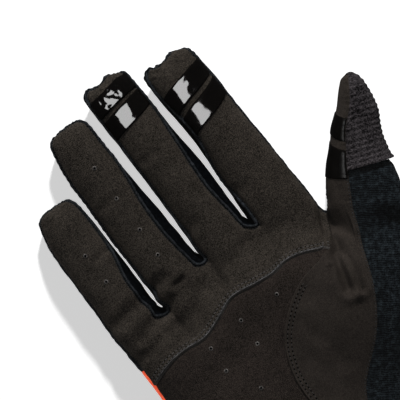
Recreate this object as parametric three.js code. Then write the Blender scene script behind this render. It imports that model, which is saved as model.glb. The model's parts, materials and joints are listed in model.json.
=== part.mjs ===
import * as THREE from 'three';

// Full-finger cycling glove for the right hand, in millimetres.
// It lies on its back with the palm up: fingers along +Y, thumb towards +X, +Z up.
// One hollow skin of rings and rows is laid out first. Each panel is a patch of that skin
// with its own wall, drawn in along its seams so that it stays clear of its neighbours.

// Widths and lengths of the digits
const littleWidth = 22.4;
const ringWidth = 24.1;
const middleWidth = 23.6;
const indexWidth = 26.2;
const thumbWidth = 27.2;
const littleLength = 43.6;      // each finger from the knuckle line to its tip
const ringLength = 68.8;
const middleLength = 78.5;
const indexLength = 72.6;
const thumbLength = 36.8;
const fingerDepth = 15.5;
const thumbDepth = 19;
const slotGap = 1.1;           // open space between two fingers at the knuckle line

// Hand
const knuckleLine = 20;        // from the crotch datum up to the knuckle line
const palmLength = 100;        // unit of the row table along Y
const palmDepth = 25;
const cuffDepth = 26;
const thumbOffset = 25.3;      // thumb axis past the index finger's outer edge
const thumbRise = -8.1;        // thumb knuckle above or below the knuckle line
const thumbLean = 32;          // degrees from +Y towards +X

// Walls and clearances
const suedeWall = 1.2;
const knitWall = 1.2;
const stretchWall = 1;
const wipeWall = 1.2;
const wipeRaise = 1;           // the wipe's ribs stand proud of the skin
const ribDepth = 0.5;
const ribCount = 10;
const cuffWall = 1.6;
const trimWall = 1.4;
const gripWall = 0.6;
const seamGap = 0.3;
const gripGap = 0.3;

// Small forms
const slotBulge = 3.6;         // stretch web at a slot's end, past its seam
const tipNotch = 2;            // hollow in the end of the index and middle fingers
const notchReach = 0.75;       // its half width, and the middle's place, as shares of the half finger
const notchPlace = -0.22;
const cornerDrop = 2.2;        // how far their corner on the thumb side falls back
const tipRound = 15;           // length over which a fingertip rounds off
const restFlat = 0.8;          // how far the cloth is flattened where it lies
const thenarRise = 5.5;        // mound at the thumb's root
const palmHollow = 3.2;        // hollow in the middle of the palm
const heelRise = 2.5;          // mound below the little finger

const strip = 6;               // quads across the palm side and the back of each digit
const rowCount = 12;           // rows from the crotch line to the cuff's end
const palmRowCount = 3;        // rows of the palm above the wavy heel seam
const bareRowCount = 2;        // rows of the little-finger edge above the side trim
const cuffRowCount = 1;        // rows of the cuff band
const hemRingCount = 5;        // rings of the thumb below the wipe's hem
const gripStepCount = 4;       // quads along a silicone band

// Widths along a finger from below the knuckle line to the tip, as shares of its width
const fingerSections = [
  { along: -0.5, width: 1.0, drift: 0 },
  { along: 0.0, width: 1.0, drift: 0 },
  { along: 0.25, width: 0.98, drift: 0 },
  { along: 0.5, width: 0.93, drift: 0 },
  { along: 0.72, width: 0.905, drift: 0 },
  { along: 1.0, width: 0.9, drift: 0 },
];
const thumbSections = [
  { along: -0.52, width: 1.22, drift: 0.125 },
  { along: -0.26, width: 1.14, drift: 0.07 },
  { along: 0.0, width: 1.0, drift: 0 },
  { along: 0.18, width: 0.86, drift: -0.04 },
  { along: 0.39, width: 0.73, drift: -0.08 },
  { along: 0.65, width: 0.585, drift: -0.07 },
  { along: 1.0, width: 0.37, drift: -0.165 },
];

// Shares of a finger between which its palm seams turn towards their places at the tip

// Seam places round each digit's oval, in degrees from its thumb side through the palm side, and
// swells of one side: the place and reach as shares of the length, the amount in mm
const digits = [
  {
    name: 'little', width: littleWidth, length: littleLength, lean: -4, depth: fingerDepth * 0.92,
    square: 2.7, tipFlat: 0.42, notch: 0, backSeams: [214, 326],
    leftSeam: [156, 158, 160, 163, 166, 168, 168, 168], rightSeam: [50, 52, 58, 48, 34, 28, 26, 26],
    swells: [{ side: -1, place: 0.55, reach: 0.25, amount: 0.8 }],
  },
  {
    name: 'ring', width: ringWidth, length: ringLength, lean: -5.8, depth: fingerDepth,
    square: 3, tipFlat: 0.45, notch: 0, backSeams: [214, 326],
    leftSeam: [148, 150, 152, 156, 158, 160, 164, 164], rightSeam: [46, 54, 58, 54, 42, 22, 18, 16],
    swells: [
      { side: -1, place: 0.93, reach: 0.14, amount: -1.7 }, { side: 1, place: 0.85, reach: 0.15, amount: -0.9 },
      { side: 1, place: 0.6, reach: 0.3, amount: -0.5 },
    ],
  },
  {
    name: 'middle', width: middleWidth, length: middleLength, lean: -5.9, depth: fingerDepth,
    square: 4, tipFlat: 0.66, notch: tipNotch, backSeams: [214, 326],
    leftSeam: [148, 150, 150, 154, 148, 150, 150, 146], rightSeam: [42, 48, 58, 50, 38, 22, 20, 22],
    swells: [
      { side: 1, place: 0.35, reach: 0.28, amount: 1.2 }, { side: -1, place: 0.27, reach: 0.25, amount: -0.6 },
    ],
  },
  {
    name: 'index', width: indexWidth, length: indexLength, lean: -5.8, depth: fingerDepth,
    square: 4, tipFlat: 0.68, notch: tipNotch, backSeams: [214, 326],
    leftSeam: [142, 140, 158, 156, 134, 140, 152, 146], rightSeam: [0, 0, 2, 6, 12, 18, 22, 24],
    swells: [
      { side: -1, place: 0.41, reach: 0.28, amount: -1.4 }, { side: 1, place: 0.7, reach: 0.15, amount: 0.8 },
    ],
  },
  {
    name: 'thumb', width: thumbWidth, length: thumbLength, lean: thumbLean, depth: thumbDepth,
    square: 2.4, tipFlat: 0.3, notch: 0, backSeams: [224, 318], tipBackSeams: [250, 300],
    leftSeam: [182, 189, 201, 207, 208, 208, 208, 208], rightSeam: [112, 113, 114, 115, 115, 113, 108, 106],
    swells: [{ side: -1, place: -0.35, reach: 0.3, amount: 0.7 }],
  },
];
const fingerStations = [0, 0.05, 0.13, 0.24, 0.37, 0.5, 0.62, 0.73, 0.82, 0.89, 0.94, 0.98, 1];
const palmInsetShare = 0.5;    // how much nearer the palm side's seam lies to the hand's edge than the back's
const seamPlaces = [0, 0.14, 0.28, 0.42, 0.56, 0.7, 0.85, 1];  // shares along a digit for its seam angles
const backTurnShare = 0.5;     // where the thumb's back seams have reached their tip angles
const hemSlant = 0.1;            // how far the hem slants down towards the palm, as a share of the thumb
const hemBendReach = 0.15;
const hemShare = 0.355;        // where the wipe's hem crosses the thumb
const thumbStations = [];
for (let i = 0; i < hemRingCount; i += 1) thumbStations.push(hemShare * i / hemRingCount);
for (let i = 0; i <= 2 * ribCount; i += 1) {
  thumbStations.push(hemShare + (1 - hemShare) * i / (2 * ribCount));
}

// Seam at each slot's end above the crotch datum, as shares of the palm length
const crotches = { outer: 0.03, littleRing: 0.028, ringMiddle: 0.128, middleIndex: 0.148, indexThumb: 0.02 };

// Rows down the hand: plan places of the little-finger edge, the thumb gusset seam, the seam
// on the thumb side and the outer edge, x from the hand's left edge as shares of its width
// and y as shares of the palm length, with the depth as a share of the palm depth
const palmSections = [
  {
    row: 0, depth: 0.7, left: [0.02, 0.03], gusset: [1.034, 0.02],
    seam: [1.119, -0.046], edge: [1.341, -0.134],
  },
  {
    row: 3, depth: 0.84, left: [0.047, -0.2], gusset: [0.963, -0.104],
    seam: [1.07, -0.185], edge: [1.28, -0.28],
  },
  {
    row: 5, depth: 0.92, left: [0.048, -0.34], gusset: [0.781, -0.158],
    seam: [1.028, -0.33], edge: [1.199, -0.4],
  },
  {
    row: 7, depth: 1, left: [0.062, -0.49], gusset: [0.616, -0.305],
    seam: [0.938, -0.495], edge: [1.1, -0.55],
  },
  {
    row: 9, depth: 1, left: [0.089, -0.67], gusset: [0.56, -0.49],
    seam: [0.782, -0.66], edge: [0.945, -0.705],
  },
  {
    row: 10.4, depth: 1, left: [0.1, -0.8], gusset: [0.575, -0.69],
    seam: [0.741, -0.79], edge: [0.897, -0.8],
  },
  {
    row: 11, depth: 1.02, left: [0.103, -0.845], gusset: [0.596, -0.835],
    seam: [0.736, -0.845], edge: [0.872, -0.845],
  },
  {
    row: 12, depth: 1.04, left: [0.103, -0.93], gusset: [0.62, -0.93],
    seam: [0.731, -0.93], edge: [0.87, -0.93],
  },
];

// Wave of the heel seam above the straight line between its ends
const heelWave = [
  { across: 0, rise: 0 }, { across: 0.11, rise: 0.03 }, { across: 0.2, rise: 0.035 },
  { across: 0.31, rise: 0.026 }, { across: 0.42, rise: 0.06 }, { across: 0.48, rise: 0.085 },
  { across: 0.54, rise: 0.09 }, { across: 0.62, rise: 0.075 }, { across: 0.72, rise: 0.063 },
  { across: 0.8, rise: 0.07 }, { across: 0.87, rise: 0.059 }, { across: 1, rise: 0 },
];

// Folds pressed into the palm side, x as a share of the hand's width and y of the palm length
const folds = [
  { from: [0.53, 0.0], to: [0.62, -0.24], reach: 4, depth: 2.4 },
  { from: [0.42, 0.06], to: [0.5, -0.06], reach: 4, depth: 1.4 },
  { from: [-0.36, -0.02], to: [-0.1, 0.02], reach: 3.5, depth: 1.3 },
  { from: [-0.4, -0.12], to: [-0.18, -0.1], reach: 3, depth: 1.1 },
  { from: [-0.28, 0.38], to: [-0.1, 0.42], reach: 3, depth: 0.8 },
  { from: [-0.06, 0.5], to: [0.14, 0.53], reach: 3, depth: 0.7 },
  { from: [0.18, 0.46], to: [0.4, 0.5], reach: 3, depth: 0.7 },
];

// Silicone bands: start and end back from the tip, slant across the digit
const grips = [
  { name: 'index_grip_upper', digit: 'index', near: 11, far: 20, slant: 6, bow: 0 },
  { name: 'index_grip_lower', digit: 'index', near: 21.8, far: 30.5, slant: 6.5, bow: 1.5 },
  { name: 'middle_grip_upper', digit: 'middle', near: 4, far: 12.4, slant: 3.2, bow: 0 },
  { name: 'middle_grip_lower', digit: 'middle', near: 13.8, far: 22.6, slant: 4, bow: 1.5 },
  { name: 'thumb_grip_upper', digit: 'thumb', near: 16, far: 24, slant: -3.2, bow: 0 },
  { name: 'thumb_grip_lower', digit: 'thumb', near: 26.4, far: 36.6, slant: -3.2, bow: 1.2 },
];

// Small curve helpers
const clamp01 = (value) => Math.min(Math.max(value, 0), 1);
const mix = (from, to, share) => from + (to - from) * share;
const ease = (value) => {
  const t = clamp01(value);
  return t * t * (3 - 2 * t);
};

// Depth that the folds press the palm side in at a plan place
function foldDepth(x, y) {
  let depth = 0;
  for (const fold of folds) {
    const from = new THREE.Vector2(fold.from[0] * handWidth, fold.from[1] * palmLength);
    const run = new THREE.Vector2(fold.to[0] * handWidth, fold.to[1] * palmLength).sub(from);
    const place = new THREE.Vector2(x, y).sub(from);
    const nearest = run.clone().multiplyScalar(clamp01(place.dot(run) / run.lengthSq()));
    depth += fold.depth * Math.exp(-((place.distanceTo(nearest) / fold.reach) ** 2));
  }
  return depth;
}

// Value of one column of a table at a place, on a smooth curve through its rows
function tableAt(table, key, column, place) {
  const last = table.length - 1;
  let i = 0;
  while (i < last - 1 && place > table[i + 1][key]) i += 1;
  const before = table[Math.max(i - 1, 0)];
  const low = table[i];
  const high = table[i + 1];
  const after = table[Math.min(i + 2, last)];
  const span = high[key] - low[key];
  const t = clamp01((place - low[key]) / span);
  const read = (row) => column(row);
  const slopeLow = (read(high) - read(before)) / (high[key] - before[key]) * span;
  const slopeHigh = (read(after) - read(low)) / (after[key] - low[key]) * span;
  const t2 = t * t;
  const t3 = t2 * t;
  return (2 * t3 - 3 * t2 + 1) * read(low) + (t3 - 2 * t2 + t) * slopeLow
    + (3 * t2 - 2 * t3) * read(high) + (t3 - t2) * slopeHigh;
}

// Fingers stand side by side on the knuckle line, so the hand's width follows theirs
const handWidth = littleWidth + ringWidth + middleWidth + indexWidth + 3 * slotGap;
let leftEdge = -handWidth / 2;
for (const digit of digits.slice(0, 4)) {
  digit.root = new THREE.Vector2(leftEdge + digit.width / 2, knuckleLine);
  leftEdge += digit.width + slotGap;
}
const [little, ring, middle, index, thumb] = digits;
thumb.root = new THREE.Vector2(handWidth / 2 + thumbOffset, knuckleLine + thumbRise);
for (const digit of digits) {
  const lean = THREE.MathUtils.degToRad(digit.lean);
  digit.axis = new THREE.Vector2(Math.sin(lean), Math.cos(lean));
  digit.side = new THREE.Vector2(Math.cos(lean), -Math.sin(lean));
  digit.sections = digit === thumb ? thumbSections : fingerSections;
  digit.hemSlant = digit === thumb ? hemSlant : 0;
  digit.stations = digit === thumb ? thumbStations : fingerStations;
  digit.wallQuads = digit === thumb ? 4 : 2;
}

// Where each digit's first ring starts, along its axis from its knuckle, on both sides
const webs = [
  { left: little, right: ring, y: crotches.littleRing * palmLength },
  { left: ring, right: middle, y: crotches.ringMiddle * palmLength },
  { left: middle, right: index, y: crotches.middleIndex * palmLength },
  { left: index, right: thumb, y: crotches.indexThumb * palmLength },
];
for (const web of webs) {
  web.left.baseRight = web.y - knuckleLine;
  web.right.baseLeft = web.y - knuckleLine;
}
little.baseLeft = crotches.outer * palmLength - knuckleLine;
index.baseRight = crotches.indexThumb * palmLength - knuckleLine + 3;
thumb.baseLeft = -0.52 * thumbLength;
thumb.baseRight = -0.44 * thumbLength;

// Angles of a digit's columns: palm side, thumb-side wall, back, little-finger-side wall
function columnAngles(digit, share) {
  const turned = ease(share / backTurnShare);
  const backSeam = (i) => mix(digit.backSeams[i], (digit.tipBackSeams ?? digit.backSeams)[i], turned);
  const rows = seamPlaces.map((place, i) => ({ place, left: digit.leftSeam[i], right: digit.rightSeam[i] }));
  const palmLeft = tableAt(rows, 'place', (row) => row.left, share);
  const palmRight = tableAt(rows, 'place', (row) => row.right, share);
  const backLeft = backSeam(0);
  const backRight = backSeam(1);
  const angles = [];
  for (let i = 0; i <= strip; i += 1) angles.push(mix(palmLeft, palmRight, i / strip));
  for (let i = 1; i < digit.wallQuads; i += 1) {
    angles.push(mix(palmRight, backRight - 360, i / digit.wallQuads));
  }
  for (let i = 0; i <= strip; i += 1) angles.push(mix(backRight, backLeft, i / strip));
  angles.push((backLeft + palmLeft) / 2);
  return angles;
}

// One point of a digit, from a share along it and an angle round its oval
function digitPoint(digit, share, angle) {
  const radians = THREE.MathUtils.degToRad(angle);
  const cos = Math.cos(radians);
  const sin = Math.sin(radians);
  const acrossShare = Math.sign(cos) * Math.abs(cos) ** 0.9;
  const base = mix(digit.baseLeft, digit.baseRight, (acrossShare + 1) / 2);
  const hemBend = digit.hemSlant * (1 - acrossShare) / 2 * Math.exp(-(((share - hemShare) / hemBendReach) ** 2));
  let along = mix(base, digit.length, share - hemBend);
  const fromTip = digit.length - along;
  const round = (reach, power) => (1 - (1 - clamp01(fromTip / reach)) ** power) ** (1 / power);
  const place = along / digit.length;
  const sectionWidth = digit.width * tableAt(digit.sections, 'along', (row) => row.width, place);
  const drift = digit.width * tableAt(digit.sections, 'along', (row) => row.drift, place);
  const width = sectionWidth * mix(digit.tipFlat, 1, round(tipRound, digit.square));
  const depth = digit.depth * mix(1, 0.86, ease(place)) * mix(0.3, 1, round(tipRound * 0.8, 2.2));
  const middleHeight = digit.depth * 0.43;
  if (digit.notch > 0) {
    const hollow = clamp01(1 - ((acrossShare - notchPlace) / notchReach) ** 2);
    along -= digit.notch * hollow * clamp01(1 - fromTip / (tipRound * 0.5));
    along -= cornerDrop * ease((acrossShare - 0.35) / 0.65) * clamp01(1 - fromTip / tipRound);
  }
  let across = drift + acrossShare * width / 2;
  for (const swell of digit.swells) {
    const share = Math.max(swell.side * acrossShare, 0);
    across += swell.side * swell.amount * share * Math.exp(-(((place - swell.place) / swell.reach) ** 2));
  }
  const rise = sin > 0 ? depth * 0.57 : depth * 0.43 + restFlat;
  const x = digit.root.x + digit.axis.x * along + digit.side.x * across;
  const y = digit.root.y + digit.axis.y * along + digit.side.y * across;
  const height = middleHeight + Math.sign(sin) * rise * Math.abs(sin) ** 0.86;
  return new THREE.Vector3(x, y, Math.max(height - foldDepth(x, y) * clamp01(sin), 0));
}

// The skin: shared points, and quads that name the panel they belong to
const skin = { points: [], faces: [] };
const addPoint = (point) => skin.points.push(point) - 1;
const addFace = (panel, corners) => skin.faces.push({ panel, corners });

for (const digit of digits) {
  digit.rings = digit.stations.map((share, station) => columnAngles(digit, share).map((angle) => {
    const point = digitPoint(digit, share, angle);
    return addPoint(point);
  }));
  digit.palmRight = strip;
  digit.backRight = strip + digit.wallQuads;
  digit.backLeft = digit.backRight + strip;
  digit.wallLeft = digit.backLeft + 1;
}

// Each slot's end is a small U: its middle points lie lower than its two corners
for (const web of webs) {
  const lefts = web.left.rings[0];
  const rights = web.right.rings[0];
  const wide = web.right === thumb ? 0.3 : 1;
  const pair = (leftColumn, rightColumn, drop) => {
    const a = skin.points[lefts[leftColumn]];
    const b = skin.points[rights[rightColumn]];
    return addPoint(a.clone().add(b).multiplyScalar(0.5).add(new THREE.Vector3(0, drop * wide, 0)));
  };
  web.top = pair(web.left.palmRight, 0, -1);
  web.back = pair(web.left.backRight, web.right.backLeft, -1);
  const wallColumn = web.left.palmRight + web.left.wallQuads / 2;
  if (web.right !== thumb) {
    skin.points[lefts[wallColumn]].y += slotBulge;
    skin.points[rights[web.right.wallLeft]].y += slotBulge;
  }
  web.wall = pair(wallColumn, web.right.wallLeft, web.right === thumb ? -6 : -0.5);
}

// Which panel a digit's quad belongs to, from its column and station
function digitPanel(digit, column, station) {
  if (column < digit.palmRight) return digit === thumb ? 'thumb_panel' : 'palm_panel';
  if (digit === thumb) return station >= hemRingCount ? 'thumb_wipe' : 'back_panel';
  if (column >= digit.backRight && column < digit.backLeft) return 'back_panel';
  const onRight = column < digit.backRight;
  const web = webs.find((item) => (onRight ? item.left : item.right) === digit && item.right !== thumb);
  return web ? `fourchette_${web.right.name}_${web.left.name}` : 'back_panel';
}

for (const digit of digits) {
  const columns = digit.rings[0].length;
  for (let station = 0; station < digit.rings.length - 1; station += 1) {
    const low = digit.rings[station];
    const high = digit.rings[station + 1];
    for (let i = 0; i < columns; i += 1) {
      const next = (i + 1) % columns;
      addFace(digitPanel(digit, i, station), [low[i], low[next], high[next], high[i]]);
    }
  }
  // The tip is closed from the palm side over to the back
  const tip = digit.rings[digit.rings.length - 1];
  const capPanel = digit === thumb ? 'thumb_wipe' : 'back_panel';
  for (let i = 0; i < strip; i += 1) {
    addFace(capPanel, [tip[i], tip[i + 1], tip[digit.backLeft - i - 1], tip[digit.backLeft - i]]);
  }
  for (let i = digit.palmRight + 1; i < digit.backRight; i += 1) {
    addFace(capPanel, [tip[digit.palmRight], tip[i], tip[i + 1]]);
  }
  addFace(capPanel, [tip[0], tip[digit.backLeft], tip[digit.wallLeft]]);
}
for (const web of webs) {
  const panel = web.right === thumb ? 'back_panel' : `fourchette_${web.right.name}_${web.left.name}`;
  const left = web.left.rings[0];
  const right = web.right.rings[0];
  const wallColumn = web.left.palmRight + web.left.wallQuads / 2;
  addFace(panel, [left[web.left.palmRight], web.top, web.wall, left[wallColumn]]);
  addFace(panel, [web.top, right[0], right[web.right.wallLeft], web.wall]);
  addFace(panel, [left[wallColumn], web.wall, web.back, left[web.left.backRight]]);
  addFace(panel, [web.wall, right[web.right.wallLeft], right[web.right.backLeft], web.back]);
}

// Columns of the hand from the little-finger edge to the thumb, palm side then back
const topColumns = [];
const backColumns = [];
digits.forEach((digit, order) => {
  for (let i = 0; i <= strip; i += 1) {
    topColumns.push(digit.rings[0][i]);
    backColumns.push(digit.rings[0][digit.backLeft - i]);
  }
  if (order < webs.length) {
    topColumns.push(webs[order].top);
    backColumns.push(webs[order].back);
  }
});
const gussetColumn = 4 * (strip + 2);
const seamColumn = topColumns.length - 1;
const thumbWall = [1, 2, 3].map((i) => thumb.rings[0][thumb.palmRight + i]);
const littleWall = little.rings[0][little.wallLeft];

const handPlace = (name, row) => new THREE.Vector2(
  -handWidth / 2 + handWidth * tableAt(palmSections, 'row', (section) => section[name][0], row),
  palmLength * tableAt(palmSections, 'row', (section) => section[name][1], row),
);

// Height of the hand's palm side or back over a plan place on one row
function handHeight(place, row, facing) {
  const left = handPlace('left', row);
  const edge = handPlace('edge', row);
  const line = edge.clone().sub(left);
  const share = place.clone().sub(left).dot(line) / line.lengthSq();
  const s = Math.min(Math.abs(2 * share - 1), 1);
  const fullDepth = mix(palmDepth, cuffDepth, ease((row - rowCount + cuffRowCount + 2) / 2));
  const depth = fullDepth * tableAt(palmSections, 'row', (section) => section.depth, row);
  const middleHeight = depth * 0.4;
  if (facing < 0) {
    return Math.max(middleHeight - (middleHeight + restFlat) * (1 - s ** 5) ** 0.5, 0);
  }
  const mound = (x, y, reachX, reachY) => Math.exp(
    -(((place.x / handWidth - x) / reachX) ** 2) - ((place.y / palmLength - y) / reachY) ** 2);
  const rim = (1 - s ** 4) ** 0.5;
  const relief = thenarRise * mound(0.46, -0.3, 0.22, 0.22) + heelRise * mound(-0.28, -0.5, 0.16, 0.25)
    - palmHollow * mound(0.02, -0.28, 0.16, 0.2);
  return middleHeight + (depth - middleHeight) * (1 - s ** 2.4) ** 0.5 + relief * rim;
}

// Rows below the crotch line, each a closed loop of points round the hand
const rows = [{ top: topColumns, back: backColumns, right: thumbWall, left: littleWall }];
const firstLeft = handPlace('left', 0);
const firstGusset = handPlace('gusset', 0);
const startShares = topColumns.slice(0, gussetColumn + 1).map((id) => {
  const x = skin.points[id].x;
  return clamp01((x - firstLeft.x) / (firstGusset.x - firstLeft.x));
});
for (let row = 1; row <= rowCount; row += 1) {
  const left = handPlace('left', row);
  const gusset = handPlace('gusset', row);
  const seam = handPlace('seam', row);
  const edge = handPlace('edge', row);
  const settle = ease(row / rowCount * 1.6);
  const carry = ease(1 - row / 4);
  const waveFade = row <= palmRowCount ? row / palmRowCount : ease(1 - (row - palmRowCount) / 4);
  const edgeInset = mix(1.1, 1.6, settle) / handWidth;
  const palmInset = edgeInset * palmInsetShare;
  const plan = (column, facing) => {
    if (column <= gussetColumn) {
      const even = column / gussetColumn;
      const share = mix(startShares[column], even, settle);
      const inset = mix(facing > 0 ? palmInset : edgeInset * 2.4, 0, share);
      const start = skin.points[topColumns[column]];
      const startRise = start.y - mix(firstLeft.y, firstGusset.y, startShares[column]);
      const wave = palmLength * tableAt(heelWave, 'across', (item) => item.rise, share);
      const rise = mix(0, startRise, clamp01(1 - row / palmRowCount)) + wave * waveFade;
      const x = mix(left.x, gusset.x, share) + inset * handWidth;
      return new THREE.Vector2(x, mix(left.y, gusset.y, share) + rise);
    }
    const share = (column - gussetColumn) / strip;
    const far = facing > 0 ? seam : edge.clone().lerp(gusset, 0.07);
    return gusset.clone().lerp(far, share);
  };
  const place = (column, facing, first) => {
    const spot = plan(column, facing);
    const start = skin.points[first].z;
    const fold = facing > 0 ? foldDepth(spot.x, spot.y) * (1 - carry) : 0;
    const height = mix(handHeight(spot, row, facing), start, carry) - fold;
    return addPoint(new THREE.Vector3(spot.x, spot.y, Math.max(height, 0)));
  };
  const top = topColumns.map((first, column) => place(column, 1, first));
  const back = backColumns.map((first, column) => place(column, -1, first));
  const wallHeight = handHeight(edge, row, 1);
  const shoulder = seam.clone().lerp(edge, 0.62);
  const under = edge.clone().lerp(gusset, 0.02);
  const right = [
    addPoint(new THREE.Vector3(shoulder.x, shoulder.y, handHeight(shoulder, row, 1))),
    addPoint(new THREE.Vector3(edge.x, edge.y, wallHeight)),
    addPoint(new THREE.Vector3(under.x, under.y, wallHeight * 0.36)),
  ];
  const leftWall = addPoint(new THREE.Vector3(left.x, left.y, handHeight(left, row, 1)));
  rows.push({ top, back, right, left: leftWall });
}

// Which panel a quad of the hand belongs to
function handPanel(side, column, row) {
  if (row >= rowCount - cuffRowCount) return 'cuff_band';
  if (side === 'left') return row >= bareRowCount ? 'side_trim' : 'back_panel';
  if (side !== 'top') return 'back_panel';
  if (column >= gussetColumn) return 'thumb_panel';
  return row >= palmRowCount ? 'heel_panel' : 'palm_panel';
}
const addRowFace = (panel, upper, lower, i, j) => addFace(panel, [lower[i], lower[j], upper[j], upper[i]]);
for (let row = 0; row < rowCount; row += 1) {
  const upper = rows[row];
  const lower = rows[row + 1];
  for (let i = 0; i < seamColumn; i += 1) {
    addRowFace(handPanel('top', i, row), upper.top, lower.top, i, i + 1);
    addRowFace(handPanel('back', i, row), upper.back, lower.back, i + 1, i);
  }
  const rightLoop = (item) => [item.top[seamColumn], ...item.right, item.back[seamColumn]];
  const leftLoop = (item) => [item.back[0], item.left, item.top[0]];
  for (let i = 0; i < 4; i += 1) {
    addRowFace(handPanel('right', i, row), rightLoop(upper), rightLoop(lower), i, i + 1);
  }
  for (let i = 0; i < 2; i += 1) {
    addRowFace(handPanel('left', i, row), leftLoop(upper), leftLoop(lower), i, i + 1);
  }
}

// Outward direction at every point of the skin
skin.normals = skin.points.map(() => new THREE.Vector3());
for (const { corners } of skin.faces) {
  const [a, b, c] = corners.map((id) => skin.points[id]);
  const d = skin.points[corners[corners.length - 1]];
  const faceNormal = c.clone().sub(a).cross(d.clone().sub(b));
  if (corners.length === 3) faceNormal.copy(b.clone().sub(a).cross(c.clone().sub(a)));
  for (const id of corners) skin.normals[id].add(faceNormal);
}
skin.normals.forEach((normal) => normal.normalize());

// Closed solid from a patch of faces: outer face, inner face and a wall along every free edge
function thickPatch(points, normals, faces, outward, inward, drawIn) {
  const used = [...new Set(faces.flat())];
  const order = new Map(used.map((id, i) => [id, i]));
  const edges = new Map();
  const edgeKey = (a, b) => `${a}_${b}`;
  for (const corners of faces) {
    corners.forEach((a, i) => {
      const b = corners[(i + 1) % corners.length];
      edges.set(edgeKey(a, b), [a, b]);
    });
  }
  const free = [...edges.values()].filter(([a, b]) => !edges.has(edgeKey(b, a)));
  const shifts = used.map(() => []);
  for (const [a, b] of free) {
    const run = points[b].clone().sub(points[a]);
    for (const id of [a, b]) shifts[order.get(id)].push(normals[id].clone().cross(run).normalize());
  }
  const vertices = [];
  used.forEach((id, i) => {
    const shift = new THREE.Vector3();
    if (shifts[i].length > 1) {
      shifts[i].forEach((way) => shift.add(way));
      shift.normalize();
      shift.multiplyScalar(drawIn / Math.max(shift.dot(shifts[i][0]), 0.5));
    }
    const base = points[id].clone().add(shift);
    const outside = base.clone().addScaledVector(normals[id], outward(id));
    outside.z = Math.max(outside.z, 0);
    vertices.push(outside, base.clone().addScaledVector(normals[id], -inward));
  });
  const outer = (id) => order.get(id) * 2;
  const inner = (id) => order.get(id) * 2 + 1;
  const triangles = [];
  for (const corners of faces) {
    for (let i = 1; i < corners.length - 1; i += 1) {
      triangles.push(outer(corners[0]), outer(corners[i]), outer(corners[i + 1]));
      triangles.push(inner(corners[0]), inner(corners[i + 1]), inner(corners[i]));
    }
  }
  for (const [a, b] of free) {
    triangles.push(outer(b), outer(a), inner(a), outer(b), inner(a), inner(b));
  }
  const geometry = new THREE.BufferGeometry();
  const numbers = vertices.flatMap((vertex) => vertex.toArray());
  geometry.setAttribute('position', new THREE.Float32BufferAttribute(numbers, 3));
  geometry.setIndex(triangles);
  geometry.computeVertexNormals();
  return geometry;
}

// Materials
const suede = new THREE.MeshStandardMaterial({ color: 0x2c2825, roughness: 0.95, metalness: 0 });
const thumbSuede = new THREE.MeshStandardMaterial({ color: 0x262220, roughness: 0.93, metalness: 0 });
const stretch = new THREE.MeshStandardMaterial({ color: 0x10151b, roughness: 0.8, metalness: 0 });
const knit = new THREE.MeshStandardMaterial({ color: 0x131b21, roughness: 0.9, metalness: 0 });
const terry = new THREE.MeshStandardMaterial({ color: 0x29272a, roughness: 1, metalness: 0 });
const silicone = new THREE.MeshStandardMaterial({ color: 0x060606, roughness: 0.12, metalness: 0 });
const accent = new THREE.MeshStandardMaterial({ color: 0xe2552b, roughness: 0.85, metalness: 0 });

const hand = new THREE.Group();
function addMesh(name, geometry, material) {
  const mesh = new THREE.Mesh(geometry, material);
  mesh.name = name;
  hand.add(mesh);
}

// Every other ring of the wipe is a rib
const furrows = new Set(thumb.rings.filter((loop, station) => (station - hemRingCount) % 2 === 1).flat());
const wipeOutward = (id) => (furrows.has(id) ? wipeRaise - ribDepth : wipeRaise);

const panels = [
  { name: 'palm_panel', material: suede, wall: suedeWall },
  { name: 'heel_panel', material: suede, wall: suedeWall },
  { name: 'thumb_panel', material: thumbSuede, wall: suedeWall },
  { name: 'back_panel', material: knit, wall: knitWall },
  { name: 'fourchette_index_middle', material: stretch, wall: stretchWall },
  { name: 'fourchette_middle_ring', material: stretch, wall: stretchWall },
  { name: 'fourchette_ring_little', material: stretch, wall: stretchWall },
  { name: 'thumb_wipe', material: terry, wall: wipeWall, outward: wipeOutward },
  { name: 'side_trim', material: accent, wall: trimWall },
  { name: 'cuff_band', material: knit, wall: cuffWall },
];
for (const panel of panels) {
  const faces = skin.faces.filter((face) => face.panel === panel.name).map((face) => face.corners);
  const outward = panel.outward ?? (() => 0);
  const patch = thickPatch(skin.points, skin.normals, faces, outward, panel.wall, seamGap / 2);
  addMesh(panel.name, patch, panel.material);
}

// A grip follows the facets of the suede under it, a clearance above them
function gripGeometry(grip) {
  const digit = digits.find((item) => item.name === grip.digit);
  const points = [];
  const normals = [];
  const faces = [];
  for (let j = 0; j <= gripStepCount; j += 1) {
    for (let i = 0; i <= strip; i += 1) {
      const across = i / strip * 2 - 1;
      const rise = j / gripStepCount;
      const bow = grip.bow * (1 - across ** 2) * rise;
      const back = mix(grip.far, grip.near, rise) - grip.slant * across / 2 + bow * (1 - rise) * 2;
      const share = 1 - back / (digit.length - mix(digit.baseLeft, digit.baseRight, (across + 1) / 2));
      let station = 0;
      while (station < digit.stations.length - 2 && share > digit.stations[station + 1]) station += 1;
      const span = digit.stations[station + 1] - digit.stations[station];
      const t = (share - digit.stations[station]) / span;
      const low = digit.rings[station][i];
      const high = digit.rings[station + 1][i];
      points.push(skin.points[low].clone().lerp(skin.points[high], t));
      normals.push(skin.normals[low].clone().lerp(skin.normals[high], t).normalize());
    }
  }
  const id = (i, j) => j * (strip + 1) + i;
  for (let j = 0; j < gripStepCount; j += 1) {
    for (let i = 0; i < strip; i += 1) faces.push([id(i, j), id(i + 1, j), id(i + 1, j + 1), id(i, j + 1)]);
  }
  return thickPatch(points, normals, faces, () => gripGap + gripWall, -gripGap, seamGap);
}
for (const grip of grips) addMesh(grip.name, gripGeometry(grip), silicone);

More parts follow.
